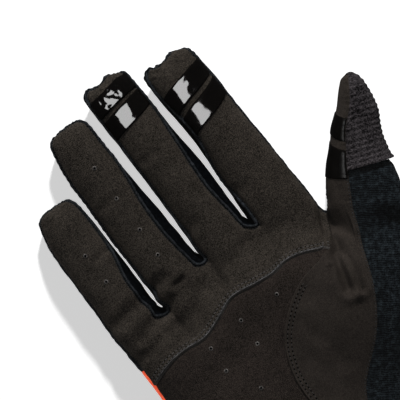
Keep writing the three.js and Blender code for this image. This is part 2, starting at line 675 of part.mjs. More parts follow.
// The origin is under the middle of the glove, on the surface that it lies on
const box = new THREE.Box3().setFromObject(hand);
const centre = box.getCenter(new THREE.Vector3());
hand.position.set(-centre.x, -centre.y, -box.min.z);
const group = new THREE.Group();
group.add(hand);

export default group;
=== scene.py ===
import bpy
import json
import math
import numpy as np
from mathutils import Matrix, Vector, kdtree
from mathutils.bvhtree import BVHTree

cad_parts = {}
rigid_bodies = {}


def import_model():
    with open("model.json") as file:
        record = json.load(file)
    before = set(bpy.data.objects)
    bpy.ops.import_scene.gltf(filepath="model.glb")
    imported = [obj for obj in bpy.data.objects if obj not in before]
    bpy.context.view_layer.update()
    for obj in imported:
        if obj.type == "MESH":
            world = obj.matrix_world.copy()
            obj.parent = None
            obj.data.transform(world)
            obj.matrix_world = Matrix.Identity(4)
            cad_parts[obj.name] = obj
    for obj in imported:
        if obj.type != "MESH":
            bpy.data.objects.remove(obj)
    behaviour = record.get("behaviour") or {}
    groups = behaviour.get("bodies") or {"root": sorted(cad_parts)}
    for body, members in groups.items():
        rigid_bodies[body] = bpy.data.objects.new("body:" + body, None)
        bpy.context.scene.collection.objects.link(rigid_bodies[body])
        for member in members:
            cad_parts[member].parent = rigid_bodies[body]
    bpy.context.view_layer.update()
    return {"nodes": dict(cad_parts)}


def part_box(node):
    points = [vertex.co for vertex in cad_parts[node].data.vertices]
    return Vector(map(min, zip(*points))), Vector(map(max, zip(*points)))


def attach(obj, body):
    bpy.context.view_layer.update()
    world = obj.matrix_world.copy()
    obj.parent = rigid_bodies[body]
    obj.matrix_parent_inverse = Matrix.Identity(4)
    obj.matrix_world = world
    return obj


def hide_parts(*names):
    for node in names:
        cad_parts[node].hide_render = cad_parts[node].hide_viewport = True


# Full-finger cycling glove lying on its back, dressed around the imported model.
# Shapes are worked out in millimetres and written to the meshes in metres.

for item in list(bpy.data.objects):
    bpy.data.objects.remove(item)
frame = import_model()
millimetre = 0.001
print("frame loaded")

# The glove's own sizes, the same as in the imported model
glove = {
    "slotGap": 1.1, "knuckleLine": 20.0, "palmLength": 100.0, "palmDepth": 25.0, "cuffDepth": 26.0,
    "fingerDepth": 15.5, "thumbDepth": 19.0, "thumbOffset": 25.3, "thumbRise": -8.1,
    "slotBulge": 3.6, "tipRound": 15.0, "restFlat": 0.8,
    "notchReach": 0.75, "notchPlace": -0.22, "cornerDrop": 2.2,
    "thenarRise": 5.5, "palmHollow": 3.2, "heelRise": 2.5,
    "strip": 6, "rowCount": 12, "palmRowCount": 3, "bareRowCount": 2, "cuffRowCount": 1,
    "backTurnShare": 0.5, "palmInsetShare": 0.5, "hemSlant": 0.1, "hemBendReach": 0.15,
    "hemShare": 0.355, "hemRingCount": 5, "wipeRingCount": 20,
}
digitSizes = {
    "little": {
        "width": 22.4, "length": 43.6, "lean": -4.0, "depth": 0.92 * glove["fingerDepth"], "square": 2.7,
        "tipFlat": 0.42, "notch": 0.0, "backSeams": (214, 326),
        "leftSeam": (156, 158, 160, 163, 166, 168, 168, 168), "rightSeam": (50, 52, 58, 48, 34, 28, 26, 26),
        "swells": ((-1, 0.55, 0.25, 0.8),),
    },
    "ring": {
        "width": 24.1, "length": 68.8, "lean": -5.8, "depth": glove["fingerDepth"], "square": 3.0,
        "tipFlat": 0.45, "notch": 0.0, "backSeams": (214, 326),
        "leftSeam": (148, 150, 152, 156, 158, 160, 164, 164), "rightSeam": (46, 54, 58, 54, 42, 22, 18, 16),
        "swells": ((-1, 0.93, 0.14, -1.7), (1, 0.85, 0.15, -0.9), (1, 0.6, 0.3, -0.5)),
    },
    "middle": {
        "width": 23.6, "length": 78.5, "lean": -5.9, "depth": glove["fingerDepth"], "square": 4.0,
        "tipFlat": 0.66, "notch": 2.0, "backSeams": (214, 326),
        "leftSeam": (148, 150, 150, 154, 148, 150, 150, 146), "rightSeam": (42, 48, 58, 50, 38, 22, 20, 22),
        "swells": ((1, 0.35, 0.28, 1.2), (-1, 0.27, 0.25, -0.6)),
    },
    "index": {
        "width": 26.2, "length": 72.6, "lean": -5.8, "depth": glove["fingerDepth"], "square": 4.0,
        "tipFlat": 0.68, "notch": 2.0, "backSeams": (214, 326),
        "leftSeam": (142, 140, 158, 156, 134, 140, 152, 146), "rightSeam": (0, 0, 2, 6, 12, 18, 22, 24),
        "swells": ((-1, 0.41, 0.28, -1.4), (1, 0.7, 0.15, 0.8)),
    },
    "thumb": {
        "width": 27.2, "length": 36.8, "lean": 32.0, "depth": glove["thumbDepth"], "square": 2.4,
        "tipFlat": 0.3, "notch": 0.0, "backSeams": (224, 318), "tipBackSeams": (250, 300),
        "leftSeam": (182, 189, 201, 207, 208, 208, 208, 208),
        "rightSeam": (112, 113, 114, 115, 115, 113, 108, 106),
        "swells": ((-1, -0.35, 0.3, 0.7),),
    },
}
fingerSections = {
    "along": (-0.5, 0.0, 0.25, 0.5, 0.72, 1.0),
    "width": (1.0, 1.0, 0.98, 0.93, 0.905, 0.9),
    "drift": (0, 0, 0, 0, 0, 0),
}
thumbSections = {
    "along": (-0.52, -0.26, 0.0, 0.18, 0.39, 0.65, 1.0),
    "width": (1.22, 1.14, 1.0, 0.86, 0.73, 0.585, 0.37),
    "drift": (0.125, 0.07, 0.0, -0.04, -0.08, -0.07, -0.165),
}
seamPlaces = (0, 0.14, 0.28, 0.42, 0.56, 0.7, 0.85, 1)
fingerStations = (0, 0.05, 0.13, 0.24, 0.37, 0.5, 0.62, 0.73, 0.82, 0.89, 0.94, 0.98, 1)
crotches = {
    "outer": 0.03, "littleRing": 0.028, "ringMiddle": 0.128, "middleIndex": 0.148, "indexThumb": 0.02,
}
palmSections = {
    "row": (0, 3, 5, 7, 9, 10.4, 11, 12),
    "left": ((0.02, 0.03), (0.047, -0.2), (0.048, -0.34), (0.062, -0.49),
             (0.089, -0.67), (0.1, -0.8), (0.103, -0.845), (0.103, -0.93)),
    "gusset": ((1.034, 0.02), (0.963, -0.104), (0.781, -0.158), (0.616, -0.305),
               (0.56, -0.49), (0.575, -0.69), (0.596, -0.835), (0.62, -0.93)),
    "seam": ((1.119, -0.046), (1.07, -0.185), (1.028, -0.33), (0.938, -0.495),
             (0.782, -0.66), (0.741, -0.79), (0.736, -0.845), (0.731, -0.93)),
    "edge": ((1.341, -0.134), (1.28, -0.28), (1.199, -0.4), (1.1, -0.55),
             (0.945, -0.705), (0.897, -0.8), (0.872, -0.845), (0.87, -0.93)),
    "depth": (0.7, 0.84, 0.92, 1, 1, 1, 1.02, 1.04),
}
heelWave = {
    "across": (0, 0.11, 0.2, 0.31, 0.42, 0.48, 0.54, 0.62, 0.72, 0.8, 0.87, 1),
    "rise": (0, 0.03, 0.035, 0.026, 0.06, 0.085, 0.09, 0.075, 0.063, 0.07, 0.059, 0),
}
# Broad folds: start and end as shares of the hand's width and length, reach and depth in mm
broadFolds = (
    (0.53, 0.0, 0.62, -0.24, 4, 2.4), (0.42, 0.06, 0.5, -0.06, 4, 1.4),
    (-0.36, -0.02, -0.1, 0.02, 3.5, 1.3),
    (-0.4, -0.12, -0.18, -0.1, 3, 1.1), (-0.28, 0.38, -0.1, 0.42, 3, 0.8), (-0.06, 0.5, 0.14, 0.53, 3, 0.7),
    (0.18, 0.46, 0.4, 0.5, 3, 0.7),
)


# Small curve helpers
def mix(low, high, share):
    return low + (high - low) * share


def ease(value):
    t = np.clip(value, 0, 1)
    return t * t * (3 - 2 * t)


def bump(distance, reach):
    return np.exp(-((distance / reach) ** 2))


def smoothCurve(places, values):
    places = np.array(places, float)
    values = np.array(values, float)
    last = len(places) - 1

    def at(place):
        i = np.clip(np.searchsorted(places[1:-1], place, side="left"), 0, last - 1)
        before = np.maximum(i - 1, 0)
        after = np.minimum(i + 2, last)
        span = places[i + 1] - places[i]
        t = np.clip((place - places[i]) / span, 0, 1)
        slopeLow = (values[i + 1] - values[before]) / (places[i + 1] - places[before]) * span
        slopeHigh = (values[after] - values[i]) / (places[after] - places[i]) * span
        return ((2 * t**3 - 3 * t**2 + 1) * values[i] + (t**3 - 2 * t**2 + t) * slopeLow
                + (3 * t**2 - 2 * t**3) * values[i + 1] + (t**3 - t**2) * slopeHigh)

    return at


# Depth that the broad folds press the palm side in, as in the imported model
def foldDepth(spots):
    spots = np.atleast_2d(spots)
    depth = np.zeros(len(spots))
    for x0, y0, x1, y1, reach, press in broadFolds:
        start = np.array((x0 * handWidth, y0 * glove["palmLength"]))
        run = np.array((x1 * handWidth, y1 * glove["palmLength"])) - start
        t = np.clip((spots - start) @ run / (run @ run), 0, 1)
        distance = np.linalg.norm(spots - start - t[:, None] * run, axis=1)
        depth += press * bump(distance, reach)
    return depth


# Digits side by side on the knuckle line, the thumb past the index finger
fingerNames = ("little", "ring", "middle", "index")
digitNames = fingerNames + ("thumb",)
digits = {name: dict(size) for name, size in digitSizes.items()}
handWidth = sum(digits[name]["width"] for name in fingerNames) + 3 * glove["slotGap"]
leftEdge = -handWidth / 2
for name in fingerNames:
    digits[name]["root"] = np.array((leftEdge + digits[name]["width"] / 2, glove["knuckleLine"]))
    leftEdge += digits[name]["width"] + glove["slotGap"]
digits["thumb"]["root"] = np.array((
    handWidth / 2 + glove["thumbOffset"], glove["knuckleLine"] + glove["thumbRise"]))
thumbStations = [glove["hemShare"] * i / glove["hemRingCount"] for i in range(glove["hemRingCount"])]
thumbStations += [mix(glove["hemShare"], 1, i / glove["wipeRingCount"])
                  for i in range(glove["wipeRingCount"] + 1)]
for name, digit in digits.items():
    lean = math.radians(digit["lean"])
    sections = thumbSections if name == "thumb" else fingerSections
    digit["name"] = name
    digit["hemSlant"] = glove["hemSlant"] if name == "thumb" else 0
    digit["axis"] = np.array((math.sin(lean), math.cos(lean)))
    digit["side"] = np.array((math.cos(lean), -math.sin(lean)))
    digit["stations"] = thumbStations if name == "thumb" else fingerStations
    digit["wallQuads"] = 4 if name == "thumb" else 2
    digit["widthAt"] = smoothCurve(sections["along"], sections["width"])
    digit["driftAt"] = smoothCurve(sections["along"], sections["drift"])

webPlaces = (
    ("little", "ring", crotches["littleRing"]), ("ring", "middle", crotches["ringMiddle"]),
    ("middle", "index", crotches["middleIndex"]), ("index", "thumb", crotches["indexThumb"]),
)
webs = []
for leftName, rightName, share in webPlaces:
    base = share * glove["palmLength"] - glove["knuckleLine"]
    digits[leftName]["baseRight"] = base
    digits[rightName]["baseLeft"] = base
    webs.append({"left": digits[leftName], "right": digits[rightName]})
digits["little"]["baseLeft"] = crotches["outer"] * glove["palmLength"] - glove["knuckleLine"]
digits["index"]["baseRight"] = crotches["indexThumb"] * glove["palmLength"] - glove["knuckleLine"] + 3
digits["thumb"]["baseLeft"] = -0.52 * digits["thumb"]["length"]
digits["thumb"]["baseRight"] = -0.44 * digits["thumb"]["length"]


# Angles of a digit's columns: palm side, thumb-side wall, back, little-finger-side wall
def columnAngles(digit, share):
    strip = glove["strip"]
    settle = ease(share / glove["backTurnShare"])
    palmLeft, palmRight = (float(smoothCurve(seamPlaces, digit[key])(share))
                           for key in ("leftSeam", "rightSeam"))
    rootSeams = digit["backSeams"]
    tipSeams = digit.get("tipBackSeams", rootSeams)
    backLeft, backRight = (mix(rootSeams[i], tipSeams[i], settle) for i in (0, 1))
    angles = [mix(palmLeft, palmRight, i / strip) for i in range(strip + 1)]
    angles += [mix(palmRight, backRight - 360, i / digit["wallQuads"])
               for i in range(1, digit["wallQuads"])]
    angles += [mix(backRight, backLeft, i / strip) for i in range(strip + 1)]
    angles.append((backLeft + palmLeft) / 2)
    return np.array(angles)


def digitPoint(digit, share, angle):
    radians = np.radians(angle)
    cos, sin = np.cos(radians), np.sin(radians)
    acrossShare = np.sign(cos) * np.abs(cos) ** 0.9
    base = mix(digit["baseLeft"], digit["baseRight"], (acrossShare + 1) / 2)
    hemBend = (digit["hemSlant"] * (1 - acrossShare) / 2
               * bump(share - glove["hemShare"], glove["hemBendReach"]))
    along = mix(base, digit["length"], share - hemBend)
    fromTip = digit["length"] - along

    def rounded(reach, power):
        return (1 - (1 - np.clip(fromTip / reach, 0, 1)) ** power) ** (1 / power)

    place = along / digit["length"]
    tipRound = glove["tipRound"]
    tipShare = mix(digit["tipFlat"], 1, rounded(tipRound, digit["square"]))
    width = digit["width"] * digit["widthAt"](place) * tipShare
    depth = digit["depth"] * mix(1, 0.86, ease(place)) * mix(0.3, 1, rounded(tipRound * 0.8, 2.2))
    if digit["notch"] > 0:
        hollow = np.clip(1 - ((acrossShare - glove["notchPlace"]) / glove["notchReach"]) ** 2, 0, 1)
        along = along - digit["notch"] * hollow * np.clip(1 - fromTip / (tipRound * 0.5), 0, 1)
        drop = glove["cornerDrop"] * ease((acrossShare - 0.35) / 0.65)
        along = along - drop * np.clip(1 - fromTip / tipRound, 0, 1)
    across = digit["width"] * digit["driftAt"](place) + acrossShare * width / 2
    for side, middle, reach, amount in digit["swells"]:
        across = across + side * amount * np.maximum(side * acrossShare, 0) * bump(place - middle, reach)
    x = digit["root"][0] + digit["axis"][0] * along + digit["side"][0] * across
    y = digit["root"][1] + digit["axis"][1] * along + digit["side"][1] * across
    rise = np.where(sin > 0, depth * 0.57, depth * 0.43 + glove["restFlat"])
    height = digit["depth"] * 0.43 + np.sign(sin) * rise * np.abs(sin) ** 0.86
    pressed = foldDepth(np.stack(np.broadcast_arrays(x, y), axis=-1)) * np.clip(sin, 0, 1)
    return np.stack(np.broadcast_arrays(x, y, np.maximum(height - pressed, 0)), axis=-1)


# The coarse skin: shared points, and faces that name the panel they belong to
panelNames = (
    "palm_panel", "heel_panel", "thumb_panel", "back_panel", "fourchette_index_middle",
    "fourchette_middle_ring", "fourchette_ring_little", "thumb_wipe", "side_trim", "cuff_band",
)
coarse = {"points": [], "marks": [], "faces": [], "panels": []}


def addPoint(point, mark):
    coarse["points"].append(np.array(point, float))
    coarse["marks"].append(mark)
    return len(coarse["points"]) - 1


def addFace(panel, corners):
    coarse["faces"].append(tuple(corners))
    coarse["panels"].append(panelNames.index(panel))


# Marks carried to the fine skin: ring number past the wipe's hem, distance from the tip, row
for digit in digits.values():
    digit["rings"] = []
    for number, share in enumerate(digit["stations"]):
        ringPoints = digitPoint(digit, share, columnAngles(digit, share))
        length = digit["length"] - (digit["baseLeft"] + digit["baseRight"]) / 2
        mark = (number - glove["hemRingCount"], length * (1 - share), -share)
        digit["rings"].append([addPoint(point, mark) for point in ringPoints])
    digit["palmRight"] = glove["strip"]
    digit["backRight"] = digit["palmRight"] + digit["wallQuads"]
    digit["backLeft"] = digit["backRight"] + glove["strip"]
    digit["wallLeft"] = digit["backLeft"] + 1

for web in webs:
    leftRing, rightRing = web["left"]["rings"][0], web["right"]["rings"][0]
    toThumb = web["right"]["name"] == "thumb"
    web["wallColumn"] = web["left"]["palmRight"] + web["left"]["wallQuads"] // 2

    def webPoint(leftColumn, rightColumn, drop):
        middle = (coarse["points"][leftRing[leftColumn]] + coarse["points"][rightRing[rightColumn]]) / 2
        middle[1] += drop * (0.3 if toThumb else 1)
        return addPoint(middle, (-5, 90, 0))

    web["top"] = webPoint(web["left"]["palmRight"], 0, -1)
    web["back"] = webPoint(web["left"]["backRight"], web["right"]["backLeft"], -1)
    if not toThumb:
        coarse["points"][leftRing[web["wallColumn"]]][1] += glove["slotBulge"]
        coarse["points"][rightRing[web["right"]["wallLeft"]]][1] += glove["slotBulge"]
    web["wall"] = webPoint(web["wallColumn"], web["right"]["wallLeft"], -6 if toThumb else -0.5)


def slotPanel(web):
    if web["right"]["name"] == "thumb":
        return "back_panel"
    return f"fourchette_{web['right']['name']}_{web['left']['name']}"


def digitPanel(digit, column, station):
    if column < digit["palmRight"]:
        return "thumb_panel" if digit["name"] == "thumb" else "palm_panel"
    if digit["name"] == "thumb":
        return "thumb_wipe" if station >= glove["hemRingCount"] else "back_panel"
    if digit["backRight"] <= column < digit["backLeft"]:
        return "back_panel"
    side = "left" if column < digit["backRight"] else "right"
    for web in webs:
        if web[side] is digit:
            return slotPanel(web)
    return "back_panel"


for digit in digits.values():
    rings = digit["rings"]
    columns = len(rings[0])
    for station in range(len(rings) - 1):
        low, high = rings[station], rings[station + 1]
        for i in range(columns):
            j = (i + 1) % columns
            addFace(digitPanel(digit, i, station), (low[i], low[j], high[j], high[i]))
    tip = rings[-1]
    capPanel = "thumb_wipe" if digit["name"] == "thumb" else "back_panel"
    for i in range(glove["strip"]):
        addFace(capPanel, (tip[i], tip[i + 1], tip[digit["backLeft"] - i - 1], tip[digit["backLeft"] - i]))
    for i in range(digit["palmRight"] + 1, digit["backRight"]):
        addFace(capPanel, (tip[digit["palmRight"]], tip[i], tip[i + 1]))
    addFace(capPanel, (tip[0], tip[digit["backLeft"]], tip[digit["wallLeft"]]))

for web in webs:
    left, right = web["left"]["rings"][0], web["right"]["rings"][0]
    columnLeft, columnRight = web["wallColumn"], web["right"]["wallLeft"]
    panel = slotPanel(web)
    addFace(panel, (left[web["left"]["palmRight"]], web["top"], web["wall"], left[columnLeft]))
    addFace(panel, (web["top"], right[0], right[columnRight], web["wall"]))
    addFace(panel, (left[columnLeft], web["wall"], web["back"], left[web["left"]["backRight"]]))
    addFace(panel, (web["wall"], right[columnRight], right[web["right"]["backLeft"]], web["back"]))

# Hand columns from the little-finger edge to the thumb, palm side and back
topColumns, backColumns = [], []
for order, name in enumerate(digitNames):
    digit = digits[name]
    topColumns += digit["rings"][0][: glove["strip"] + 1]
    backColumns += [digit["rings"][0][digit["backLeft"] - i] for i in range(glove["strip"] + 1)]
    if order < len(webs):
        topColumns.append(webs[order]["top"])
        backColumns.append(webs[order]["back"])
gussetColumn = 4 * (glove["strip"] + 2)
seamColumn = len(topColumns) - 1
thumb, little = digits["thumb"], digits["little"]
planCurves = {
    key: [smoothCurve(palmSections["row"], [pair[axis] for pair in palmSections[key]]) for axis in (0, 1)]
    for key in ("left", "gusset", "seam", "edge")
}
depthAt = smoothCurve(palmSections["row"], palmSections["depth"])
waveAt = smoothCurve(heelWave["across"], heelWave["rise"])


def handPlace(key, row):
    x = -handWidth / 2 + handWidth * planCurves[key][0](row)
    return np.array((x, glove["palmLength"] * planCurves[key][1](row)))


def handHeight(place, row, facing):
    left, edge = handPlace("left", row), handPlace("edge", row)
    line = edge - left
    share = np.dot(place - left, line) / np.dot(line, line)
    s = min(abs(2 * share - 1), 1)
    cuffShare = ease((row - glove["rowCount"] + glove["cuffRowCount"] + 2) / 2)
    depth = mix(glove["palmDepth"], glove["cuffDepth"], cuffShare) * depthAt(row)
    middleHeight = depth * 0.4
    if facing < 0:
        return max(middleHeight - (middleHeight + glove["restFlat"]) * (1 - s**5) ** 0.5, 0)

    def mound(x, y, reachX, reachY):
        return bump(place[0] / handWidth - x, reachX) * bump(place[1] / glove["palmLength"] - y, reachY)

    relief = (glove["thenarRise"] * mound(0.46, -0.3, 0.22, 0.22)
              + glove["heelRise"] * mound(-0.28, -0.5, 0.16, 0.25)
              - glove["palmHollow"] * mound(0.02, -0.28, 0.16, 0.2))
    return middleHeight + (depth - middleHeight) * (1 - s**2.4) ** 0.5 + relief * (1 - s**4) ** 0.5


handRows = [{
    "top": topColumns, "back": backColumns, "left": little["rings"][0][little["wallLeft"]],
    "right": [thumb["rings"][0][thumb["palmRight"] + i] for i in (1, 2, 3)],
}]
firstLeft, firstGusset = handPlace("left", 0), handPlace("gusset", 0)
startShares = [min(max((coarse["points"][i][0] - firstLeft[0]) / (firstGusset[0] - firstLeft[0]), 0), 1)
               for i in topColumns[: gussetColumn + 1]]
for row in range(1, glove["rowCount"] + 1):
    left, gusset, seam, edge = (handPlace(key, row) for key in ("left", "gusset", "seam", "edge"))
    settle = ease(row / glove["rowCount"] * 1.6)
    carry = ease(1 - row / 4)
    heelShare = row / glove["palmRowCount"]
    waveFade = heelShare if heelShare <= 1 else ease(1 - (row - glove["palmRowCount"]) / 4)
    edgeInset = mix(1.1, 1.6, settle)

    def planPlace(column, facing):
        if column > gussetColumn:
            far = seam if facing > 0 else mix(edge, gusset, 0.07)
            return mix(gusset, far, (column - gussetColumn) / glove["strip"])
        share = mix(startShares[column], column / gussetColumn, settle)
        inset = mix(edgeInset * (glove["palmInsetShare"] if facing > 0 else 2.4), 0, share)
        startY = coarse["points"][topColumns[column]][1]
        startRise = startY - mix(firstLeft[1], firstGusset[1], startShares[column])
        rise = startRise * max(1 - heelShare, 0) + glove["palmLength"] * waveAt(share) * waveFade
        return np.array((mix(left[0], gusset[0], share) + inset, mix(left[1], gusset[1], share) + rise))

    def place(column, facing, first):
        spot = planPlace(column, facing)
        fold = foldDepth(spot)[0] * (1 - carry) if facing > 0 else 0
        height = mix(handHeight(spot, row, facing), coarse["points"][first][2], carry) - fold
        return addPoint((spot[0], spot[1], max(height, 0)), (-5, 100, row))

    wallHeight = handHeight(edge, row, 1)
    shoulder, under = mix(seam, edge, 0.62), mix(edge, gusset, 0.02)
    handRows.append({
        "top": [place(column, 1, first) for column, first in enumerate(topColumns)],
        "back": [place(column, -1, first) for column, first in enumerate(backColumns)],
        "left": addPoint((*left, handHeight(left, row, 1)), (-5, 100, row)),
        "right": [
            addPoint((*shoulder, handHeight(shoulder, row, 1)), (-5, 100, row)),
            addPoint((*edge, wallHeight), (-5, 100, row)),
            addPoint((*under, wallHeight * 0.36), (-5, 100, row)),
        ],
    })


def handPanel(side, column, row):
    if row >= glove["rowCount"] - glove["cuffRowCount"]:
        return "cuff_band"
    if side == "left":
        return "side_trim" if row >= glove["bareRowCount"] else "back_panel"
    if side != "top":
        return "back_panel"
    if column >= gussetColumn:
        return "thumb_panel"
    return "heel_panel" if row >= glove["palmRowCount"] else "palm_panel"


for row in range(glove["rowCount"]):
    upper, lower = handRows[row], handRows[row + 1]

    def rowFace(side, i, upperLoop, lowerLoop):
        addFace(handPanel(side, i, row), (lowerLoop[0], lowerLoop[1], upperLoop[1], upperLoop[0]))

    for i in range(seamColumn):
        rowFace("top", i, upper["top"][i:i + 2], lower["top"][i:i + 2])
        rowFace("back", i, upper["back"][i:i + 2][::-1], lower["back"][i:i + 2][::-1])
    rightLoops = [[item["top"][-1], *item["right"], item["back"][-1]] for item in (upper, lower)]
    leftLoops = [[item["back"][0], item["left"], item["top"][0]] for item in (upper, lower)]
    for i in range(4):
        rowFace("right", i, rightLoops[0][i:i + 2], rightLoops[1][i:i + 2])
    for i in range(2):
        rowFace("left", i, leftLoops[0][i:i + 2], leftLoops[1][i:i + 2])
print("coarse skin:", len(coarse["points"]), "points,", len(coarse["faces"]), "faces")

# The coarse mesh that Catmull-Clark rounds off, with its panel and marks as attributes
skinMesh = bpy.data.meshes.new("glove_skin")
skinMesh.from_pydata([tuple(point) for point in coarse["points"]], [], coarse["faces"])
skinMesh.attributes.new("panel", "INT", "FACE").data.foreach_set("value", coarse["panels"])
marks = np.array(coarse["marks"], float)
for column, label in enumerate(("ring", "fromTip", "row")):
    skinMesh.attributes.new(label, "FLOAT", "POINT").data.foreach_set("value", marks[:, column])
skinObject = bpy.data.objects.new("glove_skin", skinMesh)
bpy.context.scene.collection.objects.link(skinObject)
rounding = skinObject.modifiers.new("rounding", "SUBSURF")


def readVectors(items, key, width=3):
    values = np.empty(len(items) * width)
    items.foreach_get(key, values)
    return values.reshape(-1, width)


def roundedSkin(points, level):
    skinMesh.vertices.foreach_set("co", points.ravel())
    skinMesh.update()
    rounding.levels = level
    depsgraph = bpy.context.evaluated_depsgraph_get()
    depsgraph.update()
    evaluated = skinObject.evaluated_get(depsgraph)
    mesh = evaluated.to_mesh()
    skin = {"points": readVectors(mesh.vertices, "co"),
            "normals": readVectors(mesh.vertex_normals, "vector")}
    loops = np.empty(len(mesh.loops), int)
    mesh.loops.foreach_get("vertex_index", loops)
    skin["faces"] = loops.reshape(-1, 4)
    panels = np.empty(len(mesh.polygons), int)
    mesh.attributes["panel"].data.foreach_get("value", panels)
    skin["panels"] = panels
    for label in ("ring", "fromTip", "row"):
        skin[label] = readVectors(mesh.attributes[label].data, "value", 1)[:, 0]
    evaluated.to_mesh_clear()
    return skin


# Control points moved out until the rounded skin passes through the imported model's points
wanted = np.array(coarse["points"])
control = wanted.copy()
for turn in range(3):
    reached = roundedSkin(control, 1)["points"][: len(wanted)]
    control += 0.8 * (wanted - reached)
fineSkin = roundedSkin(control, 3)
plainSkin = roundedSkin(control, 2)
bpy.data.objects.remove(skinObject)
print("rounded skin:", len(fineSkin["points"]), "points")

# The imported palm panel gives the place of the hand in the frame
palmCorners = {i for face, panel in zip(coarse["faces"], coarse["panels"]) if panel == 0 for i in face}
palmPoints = wanted[sorted(palmCorners)]
palmBox = np.array(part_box("palm_panel"))[:, :2] / millimetre
handShift = np.append(palmBox.mean(0) - (palmPoints.min(0) + palmPoints.max(0))[:2] / 2, 0)
palmTree = kdtree.KDTree(len(frame["nodes"]["palm_panel"].data.vertices))
for i, vertex in enumerate(frame["nodes"]["palm_panel"].data.vertices):
    palmTree.insert(vertex.co / millimetre, i)
palmTree.balance()
misses = [palmTree.find(spot)[0] - Vector(spot) for spot in palmPoints + handShift]
handShift += np.median(misses, axis=0)
handShift[2] = 0
print("hand shift", handShift.round(2))


# Repeatable soft noise between -1 and 1, from a table of random values
def softNoise(points, size, seed):
    table = np.random.default_rng(seed).uniform(-1, 1, (32, 32, 32))
    spots = points / np.array(size)
    low = np.floor(spots).astype(int)
    t = spots - low
    t = t * t * (3 - 2 * t)
    total = np.zeros(len(points))
    for corner in range(8):
        offset = np.array((corner & 1, corner >> 1 & 1, corner >> 2 & 1))
        cell = (low + offset) % 32
        total += np.where(offset, t, 1 - t).prod(axis=1) * table[cell[:, 0], cell[:, 1], cell[:, 2]]
    return total


# Folds and creases of worn-in cloth: points of each line in mm from the hand's middle, palm side only
wrinkles = {
    "swell": 0.34, "swellSize": 15.0, "ripple": 0.2, "rippleSize": 5.5, "tipCrinkle": 0.55, "tipSize": 1.5,
    "lines": (
        (((49.6, -8.5), (50.5, -14.6), (49.9, -23.2), (48.1, -31.0)), 1.5, 2.3),
        (((47.2, -12.5), (46.0, -19.7), (44.1, -27.8)), 2.3, 3.4),
        (((41.4, -17.4), (39.4, -21.4)), 1.1, 0.7),
        (((-15.8, 10.2), (-11.5, 10.9)), 1.4, 0.8),
        (((-44.0, -8.0), (-36.0, -7.0), (-30.0, -4.0)), 2.0, 0.7),
        (((-30.0, -12.0), (-20.0, -9.0), (-12.0, -3.0)), 2.2, 0.6),
        (((-18.0, 15.0), (-30.0, 12.5), (-44.0, 9.0)), 2.6, 1.0),
        (((-13.0, 8.0), (-26.0, 3.0), (-38.0, -1.0)), 2.6, 0.8),
        (((-6.0, 4.0), (-16.0, -3.0), (-24.0, -5.0)), 2.4, 0.6),
        (((-5.0, 22.0), (-1.0, 26.0), (4.0, 27.0)), 2.0, 0.4),
        (((20.0, 28.0), (25.0, 30.0), (31.0, 29.0)), 2.4, 0.35),
        (((8.0, 6.0), (20.0, 9.0), (34.0, 8.0)), 3.0, 0.6),
        (((-38.0, 36.0), (-32.0, 37.5)), 1.4, 0.6),
        (((-24.0, 52.0), (-17.0, 54.0)), 1.6, 0.6),
        (((0.0, 60.0), (6.0, 61.0)), 1.6, 0.5),
        (((61.0, 27.0), (57.0, 16.0), (55.0, 6.0)), 2.0, 0.5),
        (((20.0, -30.0), (24.0, -40.0), (26.0, -52.0)), 3.0, 0.5),
    ),
}


def lineDistance(spots, line):
    nearest = np.full(len(spots), 1e9)
    for start, end in zip(line[:-1], line[1:]):
        start, run = np.array(start), np.subtract(end, start)
        t = np.clip((spots - start) @ run / (run @ run), 0, 1)
        nearest = np.minimum(nearest, np.linalg.norm(spots - start - t[:, None] * run, axis=1))
    return nearest


def wrinkle(skin):
    points, normals = skin["points"], skin["normals"]
    facing = ease((normals[:, 2] + 0.25) / 0.6)
    amount = wrinkles["swell"] * softNoise(points, wrinkles["swellSize"], 3)
    amount += wrinkles["ripple"] * softNoise(points, wrinkles["rippleSize"], 4)
    amount += 0.05 * softNoise(points, 2.2, 5)
    for line, reach, depth in wrinkles["lines"]:
        distance = lineDistance(points[:, :2], line)
        amount -= depth * facing * (bump(distance, reach) - 0.35 * bump(distance - 1.9 * reach, reach))
    tips = bump(skin["fromTip"], 9) * (points[:, 0] > -2) * (points[:, 0] < 48) * (skin["row"] <= 0)
    amount += tips * wrinkles["tipCrinkle"] * softNoise(points, wrinkles["tipSize"], 6)
    lying = ease(points[:, 2] / 2.5)
    skin["points"] = points + normals * (amount * mix(0.15, 1, lying))[:, None]


wrinkle(fineSkin)
wrinkle(plainSkin)


# Seams: the fine edges that two panels share, walked into chains
def seamChains(skin):
    faces = skin["faces"]
    edges = np.sort(np.concatenate([faces[:, [i, (i + 1) % 4]] for i in range(4)]), axis=1)
    owners = np.tile(skin["panels"], 4)
    order = np.lexsort((edges[:, 1], edges[:, 0]))
    edges, owners = edges[order], owners[order]
    shared = np.flatnonzero((edges[1:] == edges[:-1]).all(axis=1) & (owners[1:] != owners[:-1]))
    links = {}
    for i in shared:
        pair = tuple(sorted((int(owners[i]), int(owners[i + 1]))))
        a, b = (int(value) for value in edges[i])
        ways = links.setdefault(pair, {})
        ways.setdefault(a, []).append(b)
        ways.setdefault(b, []).append(a)
    chains = {}
    for pair, ways in links.items():
        left = set(ways)
        ends = [i for i in ways if len(ways[i]) == 1]
        found = []
        while left:
            start = next((i for i in ends if i in left), None)
            here = min(left) if start is None else start
            chain = [here]
            left.discard(here)
            while True:
                following = [i for i in ways[here] if i in left]
                if not following:
                    break
                here = following[0]
                left.discard(here)
                chain.append(here)
            if chain[0] in ways[here] and len(chain) > 2:
                chain.append(chain[0])
            found.append(np.array(chain))
        chains[pair] = found
    return chains


